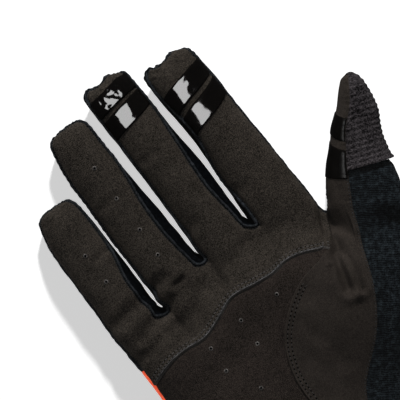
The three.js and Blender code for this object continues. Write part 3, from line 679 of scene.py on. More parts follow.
chains = seamChains(fineSkin)
panelIndex = {name: i for i, name in enumerate(panelNames)}
slotPanels = tuple(name for name in panelNames if name.startswith("fourchette"))
cuffPanels = ("heel_panel", "thumb_panel", "back_panel", "side_trim")
print("seams:", {tuple(panelNames[i] for i in pair): len(found) for pair, found in chains.items()})


def seamBetween(first, second):
    pair = tuple(sorted((panelIndex[first], panelIndex[second])))
    return chains.get(pair, [])


# Nearest place on a set of seams, as distance and length run along the seam
class SeamMap:
    def __init__(self, pairs):
        found = [chain for first, second in pairs for chain in seamBetween(first, second)]
        points, runs = [], []
        for chain in found:
            line = fineSkin["points"][chain]
            steps = np.linalg.norm(np.diff(line, axis=0), axis=1)
            runs.append(np.append(0, np.cumsum(steps)))
            points.append(line)
        self.points = np.concatenate(points)
        self.runs = np.concatenate(runs)
        self.tree = kdtree.KDTree(len(self.points))
        for i, point in enumerate(self.points):
            self.tree.insert(point, i)
        self.tree.balance()

    def near(self, points):
        found = [self.tree.find(point)[1:] for point in points]
        return np.array([item[1] for item in found]), self.runs[[item[0] for item in found]]


seams = {
    "heel": SeamMap([("palm_panel", "heel_panel")]),
    "gusset": SeamMap([("palm_panel", "thumb_panel"), ("heel_panel", "thumb_panel")]),
    "slot": SeamMap([("palm_panel", name) for name in slotPanels]),
    "finger": SeamMap([("palm_panel", "back_panel")]),
    "slotBack": SeamMap([("back_panel", name) for name in slotPanels]),
    "wipe": SeamMap([("thumb_wipe", "back_panel"), ("thumb_wipe", "thumb_panel")]),
    "hem": SeamMap([("thumb_wipe", "back_panel")]),
    "thumbSide": SeamMap([("thumb_panel", "back_panel"), ("thumb_panel", "thumb_wipe")]),
    "cuff": SeamMap([(name, "cuff_band") for name in cuffPanels]),
    "trim": SeamMap([("side_trim", name) for name in ("palm_panel", "heel_panel", "back_panel")]),
}
print("seam maps ready")

# How each panel is cut and sewn: wall in mm, and which skin it is taken from
panelCloth = {
    "palm_panel": {"wall": 0.9, "fine": True, "slot": "palm_suede"},
    "heel_panel": {"wall": 0.9, "fine": True, "slot": "palm_suede", "look": "heel_suede"},
    "thumb_panel": {"wall": 0.9, "fine": True, "slot": "thumb_suede"},
    "back_panel": {"wall": 1.0, "fine": False, "slot": "back_knit"},
    "fourchette_index_middle": {"wall": 0.8, "fine": True, "slot": "side_stretch"},
    "fourchette_middle_ring": {"wall": 0.8, "fine": True, "slot": "side_stretch"},
    "fourchette_ring_little": {"wall": 0.8, "fine": True, "slot": "side_stretch"},
    "thumb_wipe": {"wall": 1.4, "fine": True, "slot": "wipe_terry"},
    "side_trim": {"wall": 1.0, "fine": True, "slot": "side_accent"},
    "cuff_band": {"wall": 1.2, "fine": True, "slot": "back_knit"},
}
sewing = {
    "lap": 0.5, "lapReach": 3.0, "tuck": 0.4, "tuckReach": 1.8, "groove": 0.38, "grooveReach": 0.9,
    "piping": 0.55, "pipingPlace": 1.0, "pipingReach": 0.6, "pucker": 0.22, "puckerPitch": 2.7,
    "bevel": 0.55, "wipeRaise": 0.8, "cuffRaise": 0.35, "trimRaise": 0.15,
    "ribPitch": 2.3, "ribDepth": 0.3, "ribSlant": 0.3, "ribAxis": (0.53, 0.848),
    "hemFlare": 0.6, "hemReach": 2.2,
}


# How far each panel's face stands off the shared skin
def lift(name, points, run):
    amount = np.zeros(len(points))

    def near(kind):
        if kind not in run:
            run[kind] = seams[kind].near(points)
        return run[kind]

    def groove(kind, depth=sewing["groove"], reach=sewing["grooveReach"]):
        distance, _ = near(kind)
        return -depth * bump(distance, reach)

    def puckers(kind, strength=1.0, reach=2.2):
        distance, along = near(kind)
        beat = np.sin(along * 2 * math.pi / sewing["puckerPitch"] + 1.7 * np.sin(along * 0.61))
        return strength * sewing["pucker"] * beat * bump(distance, reach)

    if name == "palm_panel":
        amount += sewing["lap"] * ease(1 - near("heel")[0] / sewing["lapReach"])
        amount += groove("gusset", sewing["tuck"], sewing["tuckReach"]) + groove("slot") + groove("finger")
        amount += puckers("slot", 0.5) + puckers("finger", 0.5) + groove("trim")
    elif name == "heel_panel":
        amount += groove("heel", sewing["tuck"], sewing["tuckReach"])
        amount += groove("gusset", sewing["tuck"], sewing["tuckReach"]) + groove("cuff") + groove("trim")
    elif name == "thumb_panel":
        amount += sewing["lap"] * ease(1 - near("gusset")[0] / sewing["lapReach"])
        amount += groove("thumbSide", 0.3) + puckers("thumbSide", 0.4) + groove("cuff")
    elif name in slotPanels:
        distance, _ = near("slot")
        amount += sewing["piping"] * bump(distance - sewing["pipingPlace"], sewing["pipingReach"])
        amount += groove("slot", 0.2) + puckers("slot", 1.1, 2.0) + groove("slotBack", 0.3)
    elif name == "back_panel":
        distance, _ = near("finger")
        amount += (sewing["piping"] * 0.6
                   * bump(distance - sewing["pipingPlace"], sewing["pipingReach"] * 1.3))
        amount += groove("finger", 0.2) + puckers("finger", 0.8) + groove("slotBack", 0.3)
        amount += groove("thumbSide", 0.3) + groove("cuff") + groove("trim") + groove("hem", 0.9, 1.8)
    elif name == "thumb_wipe":
        upX, upY = sewing["ribAxis"]
        across = points[:, 0] * upY - points[:, 1] * upX
        up = points[:, 0] * upX + points[:, 1] * upY - across * sewing["ribSlant"]
        rib = np.cos(up * 2 * math.pi / sewing["ribPitch"] + 0.5 * softNoise(points, 9, 8))
        amount += sewing["wipeRaise"] + sewing["ribDepth"] * (0.5 * rib + 0.12 * softNoise(points, 0.9, 9))
        amount += sewing["hemFlare"] * bump(near("hem")[0], sewing["hemReach"])
        amount += groove("thumbSide", 0.7, 1.1)
    elif name == "cuff_band":
        amount += sewing["cuffRaise"] + groove("cuff", 0.3, 1.0)
    elif name == "side_trim":
        amount += sewing["trimRaise"] + groove("trim", 0.3)
    return amount


def toMetres(points):
    points = (points + handShift) * millimetre
    points[:, 2] = np.maximum(points[:, 2], 0)
    return points


def addPiece(name, points, faces, slotName=None, replaced=None, sharp=50):
    mesh = bpy.data.meshes.new(name)
    mesh.from_pydata(toMetres(points).tolist(), [], faces)
    mesh.update()
    mesh.polygons.foreach_set("use_smooth", np.ones(len(mesh.polygons), bool))
    mesh.set_sharp_from_angle(angle=math.radians(sharp))
    piece = bpy.data.objects.new(name, mesh)
    bpy.context.scene.collection.objects.link(piece)
    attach(piece, "root")
    if replaced:
        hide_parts(replaced)
    return piece


# A closed piece from an outer face and an inner one, with a wall along every free edge
def closedShell(outer, inner, faces):
    count = len(outer)
    edges = np.concatenate([faces[:, [i, (i + 1) % faces.shape[1]]] for i in range(faces.shape[1])])
    known = set(map(tuple, edges.tolist()))
    free = [(a, b) for a, b in edges.tolist() if (b, a) not in known]
    walls = [(b, a, a + count, b + count) for a, b in free]
    shell = faces.tolist() + (faces[:, ::-1] + count).tolist() + walls
    return np.concatenate([outer, inner]), shell


# Raw edges lie bevelled. On the palm the cut beside the stitches is drawn lighter: partly the pale cut
# edge, partly a painted highlight
rawEdges = {
    "palm_panel": {"seam": "heel", "lightCut": True},
    "thumb_panel": {"seam": "gusset", "lightCut": False},
}


def bevelEdge(inner, outer, faces, normals, atEdge, reach):
    middles = outer[faces].mean(axis=1)
    total, count = np.zeros_like(outer), np.zeros(len(outer))
    for i in range(4):
        np.add.at(total, faces[:, i], middles)
        np.add.at(count, faces[:, i], 1)
    away = outer - total / count[:, None]
    away -= normals * (away * normals).sum(axis=1, keepdims=True)
    away /= np.maximum(np.linalg.norm(away, axis=1, keepdims=True), 1e-9)
    return inner + away * (atEdge * reach)[:, None]


outerFaces, pieces, cutHighlightWalls = {}, {}, {}
for name, cloth in panelCloth.items():
    skin = fineSkin if cloth["fine"] else plainSkin
    picked = skin["faces"][skin["panels"] == panelIndex[name]]
    used, inverse = np.unique(picked, return_inverse=True)
    faces = inverse.reshape(-1, 4)
    base, normals = skin["points"][used], skin["normals"][used]
    outer = base + normals * lift(name, base, {})[:, None]
    outerFaces[name] = (outer, faces, normals)
    inner = outer - normals * cloth["wall"]
    rawEdge = rawEdges.get(name)
    if rawEdge:
        atEdge = seams[rawEdge["seam"]].near(base)[0] < 0.1
        inner = bevelEdge(inner, outer, faces, normals, atEdge, sewing["bevel"])
    points, shell = closedShell(outer, inner, faces)
    pieces[name] = addPiece(name + "_cloth", points, shell, cloth["slot"], name)
    # The cut walls by the heel seam get a lighter suede: the pale cut with a painted highlight on it
    if rawEdge and rawEdge["lightCut"]:
        cutHighlightWalls[name] = [i for i in range(2 * len(faces), len(shell))
                          if all(atEdge[k % len(outer)] for k in shell[i])]
print("panels sewn:", sum(len(piece.data.polygons) for piece in pieces.values()), "faces")

surfaces = {name: BVHTree.FromPolygons(outer.tolist(), faces.tolist())
            for name, (outer, faces, normals) in outerFaces.items()}


def onCloth(name, point):
    place, normal, _, _ = surfaces[name].find_nearest(point)
    return np.array(place), np.array(normal)


# Silicone bands, each laid over its panel as a domed patch with round edges
gripSizes = {
    "index_grip_upper": {"digit": "index", "near": 11, "far": 20, "slant": 6, "bow": 0},
    "index_grip_lower": {"digit": "index", "near": 21.8, "far": 30.5, "slant": 6.5, "bow": 1.5},
    "middle_grip_upper": {"digit": "middle", "near": 4, "far": 12.4, "slant": 3.2, "bow": 0},
    "middle_grip_lower": {"digit": "middle", "near": 13.8, "far": 22.6, "slant": 4, "bow": 1.5},
    "thumb_grip_upper": {"digit": "thumb", "near": 16, "far": 24, "slant": -3.2, "bow": 0},
    "thumb_grip_lower": {"digit": "thumb", "near": 26.4, "far": 36.6, "slant": -3.2, "bow": 1.2},
}
gripShape = {
    "thick": 0.65, "thumbShare": 0.45, "rim": 0.05, "sunk": 0.15, "edge": 0.7,
    "stepsAcross": 44, "stepsAlong": 30, "ripple": 0.12, "rippleSize": 6.0,
}
stepsAcross, stepsAlong = gripShape["stepsAcross"], gripShape["stepsAlong"]


def gripGrid(digit, cloth, size):
    stations = np.array(digit["stations"])
    rings = np.array([[wanted[i] for i in ring[: glove["strip"] + 1]] for ring in digit["rings"]])
    grid = np.zeros((stepsAlong + 1, stepsAcross + 1, 3))
    normals = np.zeros_like(grid)
    for j in range(stepsAlong + 1):
        for i in range(stepsAcross + 1):
            across = 2 * i / stepsAcross - 1
            rise = j / stepsAlong
            bow = size["bow"] * (1 - across**2)
            back = mix(size["far"], size["near"], rise) - size["slant"] * across / 2
            back += bow * rise * (1 - rise) * 2
            base = mix(digit["baseLeft"], digit["baseRight"], (across + 1) / 2)
            share = 1 - back / (digit["length"] - base)
            station = int(np.clip(np.searchsorted(stations, share) - 1, 0, len(stations) - 2))
            t = (share - stations[station]) / (stations[station + 1] - stations[station])
            column = min(int(i / stepsAcross * glove["strip"]), glove["strip"] - 1)
            s = i / stepsAcross * glove["strip"] - column
            low = mix(rings[station][column], rings[station][column + 1], s)
            high = mix(rings[station + 1][column], rings[station + 1][column + 1], s)
            grid[j, i], normals[j, i] = onCloth(cloth, mix(low, high, t))
    for turn in range(6):
        inside = (normals[:-2, 1:-1] + normals[2:, 1:-1] + normals[1:-1, :-2] + normals[1:-1, 2:]) / 4
        normals[1:-1, 1:-1] = inside
    normals /= np.linalg.norm(normals, axis=2, keepdims=True)
    return grid, normals


def gripDome(grid):
    alongGap = np.linalg.norm(np.diff(grid, axis=0), axis=2).mean()
    acrossGap = np.linalg.norm(np.diff(grid, axis=1), axis=2).mean()
    rowsFromEdge = np.minimum(np.arange(stepsAlong + 1), np.arange(stepsAlong + 1)[::-1]) * alongGap
    columnsFromEdge = np.minimum(np.arange(stepsAcross + 1), np.arange(stepsAcross + 1)[::-1]) * acrossGap
    fromEdge = np.minimum(rowsFromEdge[:, None], columnsFromEdge[None, :])
    dome = (1 - (1 - np.clip(fromEdge / gripShape["edge"], 0, 1)) ** 2) ** 0.5
    waves = gripShape["ripple"] * softNoise(grid.reshape(-1, 3), gripShape["rippleSize"], 11)
    waves = waves.reshape(dome.shape)
    return (gripShape["thick"] + waves) * dome


gridWidth = stepsAcross + 1
gripFaces = np.array([[j * gridWidth + i, j * gridWidth + i + 1, (j + 1) * gridWidth + i + 1,
                       (j + 1) * gridWidth + i] for j in range(stepsAlong) for i in range(stepsAcross)])
for name, size in gripSizes.items():
    onThumb = size["digit"] == "thumb"
    grid, normals = gripGrid(digits[size["digit"]], "thumb_panel" if onThumb else "palm_panel", size)
    thick = gripShape["rim"] + gripDome(grid) * (gripShape["thumbShare"] if onThumb else 1)
    outer = (grid + normals * thick[..., None]).reshape(-1, 3)
    inner = (grid - normals * gripShape["sunk"]).reshape(-1, 3)
    points, shell = closedShell(outer, inner, gripFaces)
    pieces[name] = addPiece(name + "_silicone", points, shell, "grip_silicone", name)
print("grips laid")

# Stitch rows: thread loops in evenly spaced dashes, a set distance in from a seam
slotSeams = [("palm_panel", name) for name in slotPanels]
threadRows = {
    "heel_stitches": {
        "cloth": "palm_panel", "seams": [("palm_panel", "heel_panel")], "insets": (0.9, 2.5),
        "pitch": 1.7, "length": 1.15, "radius": 0.17, "slot": "palm_suede", "hole": 0.27},
    "gusset_stitches": {
        "cloth": "thumb_panel", "seams": [("palm_panel", "thumb_panel"), ("heel_panel", "thumb_panel")],
        "insets": (0.9, 2.5), "below": -15,
        "pitch": 1.9, "length": 1.2, "radius": 0.16, "slot": "thumb_suede", "hole": 0.34},
    "slot_overcast": {
        "cloth": "palm_panel", "seams": slotSeams, "insets": (-0.1,),
        "pitch": 1.0, "length": 1.1, "radius": 0.2, "slot": "side_stretch", "across": True},
    "finger_overcast": {
        "cloth": "palm_panel", "seams": [("palm_panel", "back_panel")], "insets": (-0.1,),
        "pitch": 0.95, "length": 1.0, "radius": 0.2, "slot": "back_knit", "across": True},
    "thumb_stitches": {
        "cloth": "thumb_panel", "seams": [("thumb_panel", "back_panel")], "insets": (0.6,),
        "pitch": 1.5, "length": 1.0, "radius": 0.14, "slot": "thumb_suede"},
    "cuff_stitches": {
        "cloth": "cuff_band", "seams": [(name, "cuff_band") for name in cuffPanels], "insets": (1.0,),
        "pitch": 2.2, "length": 1.6, "radius": 0.18, "slot": "back_knit"},
}


def walkSeam(line, pitch):
    steps = np.linalg.norm(np.diff(line, axis=0), axis=1)
    run = np.append(0, np.cumsum(steps))
    spots = np.arange(pitch / 2, run[-1], pitch)
    return np.stack([np.interp(spots, run, line[:, i]) for i in range(3)], axis=1)


def smoothLine(line, turns=3):
    line = line.copy()
    for turn in range(turns):
        line[1:-1] = (line[:-2] + 2 * line[1:-1] + line[2:]) / 4
    return line


# One stitch is a short tube that dips into the cloth at both ends
def addStitch(points, faces, middle, along, normal, length, radius):
    sideways = np.cross(normal, along)
    start = len(points)
    sides, rings = 6, 5
    for j in range(rings):
        t = 2 * j / (rings - 1) - 1
        sink = radius * (0.55 - 1.7 * t**4)
        grow = radius * (1 - 0.5 * t**4)
        centre = middle + along * t * length / 2 + normal * sink
        for i in range(sides):
            angle = 2 * math.pi * i / sides
            points.append(centre + grow * (math.cos(angle) * sideways + math.sin(angle) * normal))
    for j in range(rings - 1):
        for i in range(sides):
            a, b = start + j * sides + i, start + j * sides + (i + 1) % sides
            faces.append((a, b, b + sides, a + sides))
    faces.append(tuple(start + i for i in range(sides))[::-1])
    faces.append(tuple(start + (rings - 1) * sides + i for i in range(sides)))


needlePlaces = []
for name, row in threadRows.items():
    points, faces = [], []
    cloth = row["cloth"]
    for first, second in row["seams"]:
        for chain in seamBetween(first, second):
            line = smoothLine(fineSkin["points"][chain])
            if len(line) < 4:
                continue
            for inset in row["insets"]:
                spots = walkSeam(line, row["pitch"])
                ways = np.gradient(spots, axis=0)
                for spot, way in zip(spots, ways):
                    place, normal = onCloth(cloth, spot)
                    way = way - normal * way.dot(normal)
                    way /= max(np.linalg.norm(way), 1e-6)
                    inward = np.cross(normal, way)
                    tries = [onCloth(cloth, spot + inward * inset * side) for side in (1, -1)]
                    gaps = [np.linalg.norm(found[0] - spot) for found in tries]
                    if inset > 0:
                        place, normal = tries[int(gaps[1] > gaps[0])]
                    if row.get("across"):
                        way = np.cross(normal, way)
                    if spot[1] > row.get("below", math.inf):
                        continue
                    addStitch(points, faces, place, way, normal, row["length"], row["radius"])
                    # Each needle hole beside a stitch is drawn as a dark disc of painted shade
                    if "hole" in row:
                        needlePlaces.append((place + way * row["pitch"] / 2, normal, row["hole"]))
    pieces[name] = addPiece(name, np.array(points), faces, row["slot"])
print("stitch rows:", list(threadRows))

# Rolled edges: a soft tube of stretch cloth along each side wall where the suede is sewn to it,
# and a pale tube along the suede's cut edge above the heel, its lightness partly a painted highlight
bindings = {
    "slot_bindings": {"pairs": slotSeams, "radius": 0.6, "inset": 0.6, "slot": "side_stretch"},
    "finger_bindings": {
        "pairs": [("palm_panel", "back_panel")], "radius": 0.34, "inset": 0.3, "slot": "back_knit"},
    "heel_edge": {
        "pairs": [("heel_panel", "palm_panel")], "radius": 0.22, "inset": 0.3, "slot": "palm_suede"},
}


def addTube(points, faces, centres, normals, ways, radii, sides=10):
    start = len(points)
    for centre, normal, way, radius in zip(centres, normals, ways, radii):
        sideways = np.cross(normal, way)
        for i in range(sides):
            angle = 2 * math.pi * i / sides
            points.append(centre + radius * (math.cos(angle) * sideways + math.sin(angle) * normal))
    for j in range(len(centres) - 1):
        for i in range(sides):
            a, b = start + j * sides + i, start + j * sides + (i + 1) % sides
            faces.append((a, b, b + sides, a + sides))
    faces.append(tuple(start + i for i in range(sides))[::-1])
    faces.append(tuple(start + (len(centres) - 1) * sides + i for i in range(sides)))


def towards(cloth, spots, ways, inset):
    found = []
    for spot, way in zip(spots, ways):
        _, normal = onCloth(cloth, spot)
        inward = np.cross(normal, way / max(np.linalg.norm(way), 1e-6))
        tries = [spot + inward * inset * side for side in (1, -1)]
        nearest = [onCloth(cloth, point) for point in tries]
        gaps = [np.linalg.norm(item[0] - point) for item, point in zip(nearest, tries)]
        found.append(nearest[int(gaps[1] < gaps[0])])
    return found


for name, binding in bindings.items():
    points, faces = [], []
    for first, second in binding["pairs"]:
        for chain in seamBetween(first, second):
            if len(chain) < 12:
                continue
            spots = walkSeam(smoothLine(fineSkin["points"][chain]), 0.6)
            found = towards(second, spots, np.gradient(spots, axis=0), binding["inset"])
            centres = smoothLine(np.array([item[0] for item in found]), 4)
            normals = smoothLine(np.array([item[1] for item in found]), 6)
            normals /= np.linalg.norm(normals, axis=1, keepdims=True)
            ways = np.gradient(centres, axis=0)
            ways -= normals * (ways * normals).sum(axis=1, keepdims=True)
            ways /= np.maximum(np.linalg.norm(ways, axis=1, keepdims=True), 1e-6)
            count = np.arange(len(centres))
            radii = binding["radius"] * (1 + 0.14 * np.sin(count * 1.35) + 0.1 * np.sin(count * 0.53))
            radii *= np.clip(np.minimum(count, count[::-1]) / 6, 0.15, 1)
            addTube(points, faces, centres, normals, ways, radii)
    pieces[name] = addPiece(name, np.array(points), faces, binding["slot"])
print("edges bound")

# Air holes punched through the suede, each a raised rim around a dark disc of painted shade for the hole's
# depth
airHoles = {
    "places": ((-18.2, 68.2), (-17.1, 53.0), (-15.8, 37.2), (-15.0, 24.6), (-40.4, 39.8), (-38.7, 26.4),
               (17.6, -14.6), (-0.3, -16.0), (0.3, -27.5), (-16.8, -19.2), (-16.3, -30.1), (-7.9, -43.4)),
    "radius": 0.44, "rim": 1.0, "height": 0.24,
}


def hoop(place, normal, reach, rise, sides):
    side = np.cross(normal, (0.3, 0.9, 0.1))
    side /= np.linalg.norm(side)
    other = np.cross(normal, side)
    angles = [2 * math.pi * i / sides for i in range(sides)]
    return [place + (side * math.cos(a) + other * math.sin(a)) * reach + normal * rise for a in angles]


def addRim(points, faces, place, normal, sides=16):
    radius, rim, height = airHoles["radius"], airHoles["rim"], airHoles["height"]
    start = len(points)
    profile = ((rim, -0.12), (rim * 0.8, height * 0.7), (radius * 1.25, height), (radius, -0.1))
    for reach, rise in profile:
        points.extend(hoop(place, normal, reach, rise, sides))
    for j in range(len(profile)):
        low, high = start + j * sides, start + (j + 1) % len(profile) * sides
        for i in range(sides):
            n = (i + 1) % sides
            faces.append((low + i, low + n, high + n, high + i))


# A flat dark disc sunk into the cloth: painted shade standing in for the inside of a hole
def addShadeDisc(points, faces, place, normal, radius, sides=16):
    start = len(points)
    for rise in (0.05, -0.15):
        points.extend(hoop(place, normal, radius * 1.05, rise, sides))
    faces.append(tuple(start + i for i in range(sides)))
    faces.append(tuple(start + sides + i for i in range(sides))[::-1])
    for i in range(sides):
        n = (i + 1) % sides
        faces.append((start + i, start + sides + i, start + sides + n, start + n))


rimPoints, rimFaces, shadeDiscPoints, shadeDiscFaces = [], [], [], []
for x, y in airHoles["places"]:
    hits = [surfaces[name].ray_cast((x, y, 60), (0, 0, -1)) for name in ("palm_panel", "heel_panel")]
    place, normal = next((np.array(hit[0]), np.array(hit[1])) for hit in hits if hit[0] is not None)
    addRim(rimPoints, rimFaces, place, normal)
    addShadeDisc(shadeDiscPoints, shadeDiscFaces, place, normal, airHoles["radius"])
needleShadePoints, needleShadeFaces = [], []
for place, normal, radius in needlePlaces:
    addShadeDisc(needleShadePoints, needleShadeFaces, place, normal, radius, 8)
pieces["air_hole_rims"] = addPiece("air_hole_rims", np.array(rimPoints), rimFaces, "palm_suede")
pieces["air_hole_pits"] = addPiece("air_hole_pits", np.array(shadeDiscPoints), shadeDiscFaces, "palm_suede")
pieces["needle_holes"] = addPiece("needle_holes", np.array(needleShadePoints), needleShadeFaces, "palm_suede")
print("holes punched")


# Shot from straight above the palm, in mm and degrees
shot = {"middle": (-10.1, 31.9, 8.0), "away": 1500.0, "field": 164.0, "turn": -32.0, "sensor": 36.0}


# Node groups shared by the cloth materials, all measured in mm of the glove
def newGroup(name, inputs, outputs):
    group = bpy.data.node_groups.new(name, "ShaderNodeTree")
    for label, kind, value in inputs:
        group.interface.new_socket(label, in_out="INPUT", socket_type=kind).default_value = value
    for label, kind in outputs:
        group.interface.new_socket(label, in_out="OUTPUT", socket_type=kind)
    return group


class NodeBench:
    def __init__(self, tree):
        self.tree = tree

    def add(self, kind, inputs=None, **settings):
        node = self.tree.nodes.new(kind)
        for key, value in settings.items():
            setattr(node, key, value)
        for key, value in (inputs or {}).items():
            if isinstance(value, bpy.types.NodeSocket):
                self.tree.links.new(value, node.inputs[key])
            else:
                node.inputs[key].default_value = value
        return node

    def math(self, operation, first, second=0.0, clamp=False):
        node = self.add("ShaderNodeMath", {0: first, 1: second}, operation=operation, use_clamp=clamp)
        return node.outputs[0]

    def blend(self, factor, first, second):
        return self.add("ShaderNodeMix", {0: factor, 6: first, 7: second}, data_type="RGBA").outputs[2]

    def spots(self, stretch=(1, 1, 1), turn=0.0):
        place = self.add("ShaderNodeTexCoord").outputs["Object"]
        scale = tuple(value / millimetre for value in stretch)
        inputs = {"Vector": place, "Scale": scale, "Rotation": (0, 0, turn)}
        return self.add("ShaderNodeMapping", inputs).outputs[0]

    def noise(self, vector, size, detail=2.0, roughness=0.5):
        scale = self.math("DIVIDE", 1.0, size)
        inputs = {"Vector": vector, "Scale": scale, "Detail": detail, "Roughness": roughness}
        return self.add("ShaderNodeTexNoise", inputs).outputs["Fac"]

    def ramp(self, value, low, high):
        inputs = {"Value": value, "From Min": low, "From Max": high}
        return self.add("ShaderNodeMapRange", inputs, interpolation_type="SMOOTHSTEP").outputs["Result"]


colourKind, numberKind = "NodeSocketColor", "NodeSocketFloat"


# Brushed nap: short fibres in clumps, lighter tips, broad mottling where it was stroked
def buildNap():
    group = newGroup("brushed_nap", (
        ("Deep Colour", colourKind, (0.01, 0.01, 0.01, 1)),
        ("Tip Colour", colourKind, (0.04, 0.04, 0.04, 1)),
        ("Grain mm", numberKind, 0.7), ("Mottle", numberKind, 0.5), ("Fleck Share", numberKind, 0.5),
    ), (("Colour", colourKind), ("Roughness", numberKind), ("Height", numberKind)))
    bench = NodeBench(group)
    given, out = bench.add("NodeGroupInput").outputs, bench.add("NodeGroupOutput").inputs
    spots = bench.spots()
    grain = bench.noise(spots, given["Grain mm"], 4.0, 0.65)
    brushed = bench.spots((1.0, 0.35, 1.0), 0.6)
    fibres = bench.noise(brushed, bench.math("MULTIPLY", given["Grain mm"], 0.5), 2.0)
    clump = bench.noise(spots, bench.math("MULTIPLY", given["Grain mm"], 4.5), 2.0)
    broad = bench.noise(spots, bench.math("MULTIPLY", given["Grain mm"], 22.0), 1.0)
    strands = bench.math("MULTIPLY", bench.math("SUBTRACT", fibres, 0.5), 0.5)
    tips = bench.ramp(bench.math("ADD", grain, strands), 0.36, 0.68)
    patches = bench.math("SUBTRACT", bench.math("ADD", clump, broad), 1.0)
    stroked = bench.math("MULTIPLY", patches, given["Mottle"])
    share = bench.math("ADD", bench.math("MULTIPLY", tips, given["Fleck Share"]), stroked, True)
    group.links.new(bench.blend(share, given["Deep Colour"], given["Tip Colour"]), out["Colour"])
    group.links.new(bench.ramp(grain, 0.1, 0.9), out["Height"])
    group.links.new(bench.math("SUBTRACT", 0.98, bench.math("MULTIPLY", tips, 0.08)), out["Roughness"])
    return group


# Jersey knit: rows of loops with thin gaps between the wales and heathered yarn
def buildKnit():
    group = newGroup("jersey_knit", (
        ("Gap Colour", colourKind, (0.002, 0.003, 0.004, 1)),
        ("Yarn Colour", colourKind, (0.01, 0.015, 0.02, 1)),
        ("Fleck Colour", colourKind, (0.03, 0.04, 0.05, 1)), ("Loop mm", numberKind, 1.0),
        ("Fleck Share", numberKind, 0.5),
    ), (("Colour", colourKind), ("Roughness", numberKind), ("Height", numberKind)))
    bench = NodeBench(group)
    given, out = bench.add("NodeGroupInput").outputs, bench.add("NodeGroupOutput").inputs
    spots = bench.spots(turn=math.radians(-shot["turn"]))
    cloud = bench.add("ShaderNodeTexNoise", {"Vector": spots, "Scale": 0.25, "Detail": 2.0})
    drift = cloud.outputs["Color"]
    shifted = bench.add("ShaderNodeVectorMath", {0: drift, 1: (1.6, 1.6, 1.6)}, operation="MULTIPLY")
    bent = bench.add("ShaderNodeVectorMath", {0: spots, 1: shifted.outputs[0]}, operation="ADD").outputs[0]
    parts = bench.add("ShaderNodeSeparateXYZ", {0: bent}).outputs
    turns = bench.math("DIVIDE", 2 * math.pi, given["Loop mm"])
    wale = bench.math("SINE", bench.math("MULTIPLY", parts[0], turns))
    sway = bench.math("MULTIPLY", bench.math("ABSOLUTE", wale), 1.6)
    courseTurns = bench.math("MULTIPLY", parts[1], bench.math("MULTIPLY", turns, 1.3))
    course = bench.math("SINE", bench.math("ADD", courseTurns, sway))
    loops = bench.math("ADD", bench.math("MULTIPLY", bench.math("ABSOLUTE", wale), 0.45),
                       bench.math("MULTIPLY", course, 0.2), True)
    heather = bench.noise(bent, bench.math("MULTIPLY", given["Loop mm"], 1.6), 4.0, 0.7)
    blotch = bench.math("MULTIPLY", bench.math("SUBTRACT", heather, 0.5), 2.2)
    raised = bench.ramp(bench.math("ADD", loops, blotch), -0.1, 0.65)
    yarn = bench.blend(raised, given["Gap Colour"], given["Yarn Colour"])
    fleck = bench.math("MULTIPLY", bench.ramp(heather, 0.5, 0.72), given["Fleck Share"])
    group.links.new(bench.blend(fleck, yarn, given["Fleck Colour"]), out["Colour"])
    group.links.new(bench.math("ADD", loops, bench.math("MULTIPLY", heather, 0.9)), out["Height"])
    group.links.new(bench.math("SUBTRACT", 0.95, bench.math("MULTIPLY", fleck, 0.15)), out["Roughness"])
    return group


napGroup, knitGroup = buildNap(), buildKnit()


# Values given by the shader's own socket name stay constant, the rest comes from the node group
def newMaterial(name, group=None, values=None, bumpDepth=0.1, sheen=0.0, specular=0.3, **shaderValues):
    material = bpy.data.materials.new(name)
    material.use_nodes = True
    bench = NodeBench(material.node_tree)
    links = material.node_tree.links
    shader = material.node_tree.nodes["Principled BSDF"]
    shader.inputs["Specular IOR Level"].default_value = specular
    shader.inputs["Sheen Weight"].default_value = sheen
    shader.inputs["Sheen Roughness"].default_value = 0.6
    for key, value in shaderValues.items():
        shader.inputs[key].default_value = value
    if group:
        effect = bench.add("ShaderNodeGroup", node_tree=group)
        for key, value in values.items():
            effect.inputs[key].default_value = value
        links.new(effect.outputs["Colour"], shader.inputs["Base Color"])
        if "Roughness" not in shaderValues:
            links.new(effect.outputs["Roughness"], shader.inputs["Roughness"])
        bumped = bench.add("ShaderNodeBump", {"Strength": 1.0, "Distance": bumpDepth * millimetre,
                                              "Height": effect.outputs["Height"]})
        links.new(bumped.outputs[0], shader.inputs["Normal"])
    return material


cloths = {}


def napped(name, deep, tip, grain, mottle, flecks, bumpDepth, specular, sheen=0.0, **shaderValues):
    values = {"Deep Colour": (*deep, 1), "Tip Colour": (*tip, 1), "Grain mm": grain, "Mottle": mottle,
              "Fleck Share": flecks}
    cloths[name] = newMaterial(name, napGroup, values, bumpDepth, sheen, specular, **shaderValues)


def knitted(name, gap, yarn, fleck, loop, flecks, bumpDepth, specular, sheen=0.0, **shaderValues):
    values = {"Gap Colour": (*gap, 1), "Yarn Colour": (*yarn, 1), "Fleck Colour": (*fleck, 1),
              "Loop mm": loop, "Fleck Share": flecks}
    cloths[name] = newMaterial(name, knitGroup, values, bumpDepth, sheen, specular, **shaderValues)


# Colours are linear, darkest first. The orange is given a glow, since the lamps alone leave it dull
siliconeDeep, siliconeTip = (0.0022, 0.0019, 0.0017), (0.0036, 0.003, 0.0027)
orangeGlow = {"Emission Color": (1.0, 0.08, 0.02, 1), "Emission Strength": 0.45}
napped("palm_suede", (0.0046, 0.0039, 0.003), (0.057, 0.0475, 0.0385),
       grain=0.4, mottle=0.36, flecks=0.82, bumpDepth=0.16, specular=0.15)
napped("heel_suede", (0.004, 0.003, 0.0025), (0.038, 0.0295, 0.0245),
       grain=0.4, mottle=0.36, flecks=0.82, bumpDepth=0.16, specular=0.15)
napped("thumb_suede", (0.0115, 0.0093, 0.0077), (0.044, 0.036, 0.03),
       grain=0.36, mottle=0.35, flecks=0.6, bumpDepth=0.06, specular=0.15)
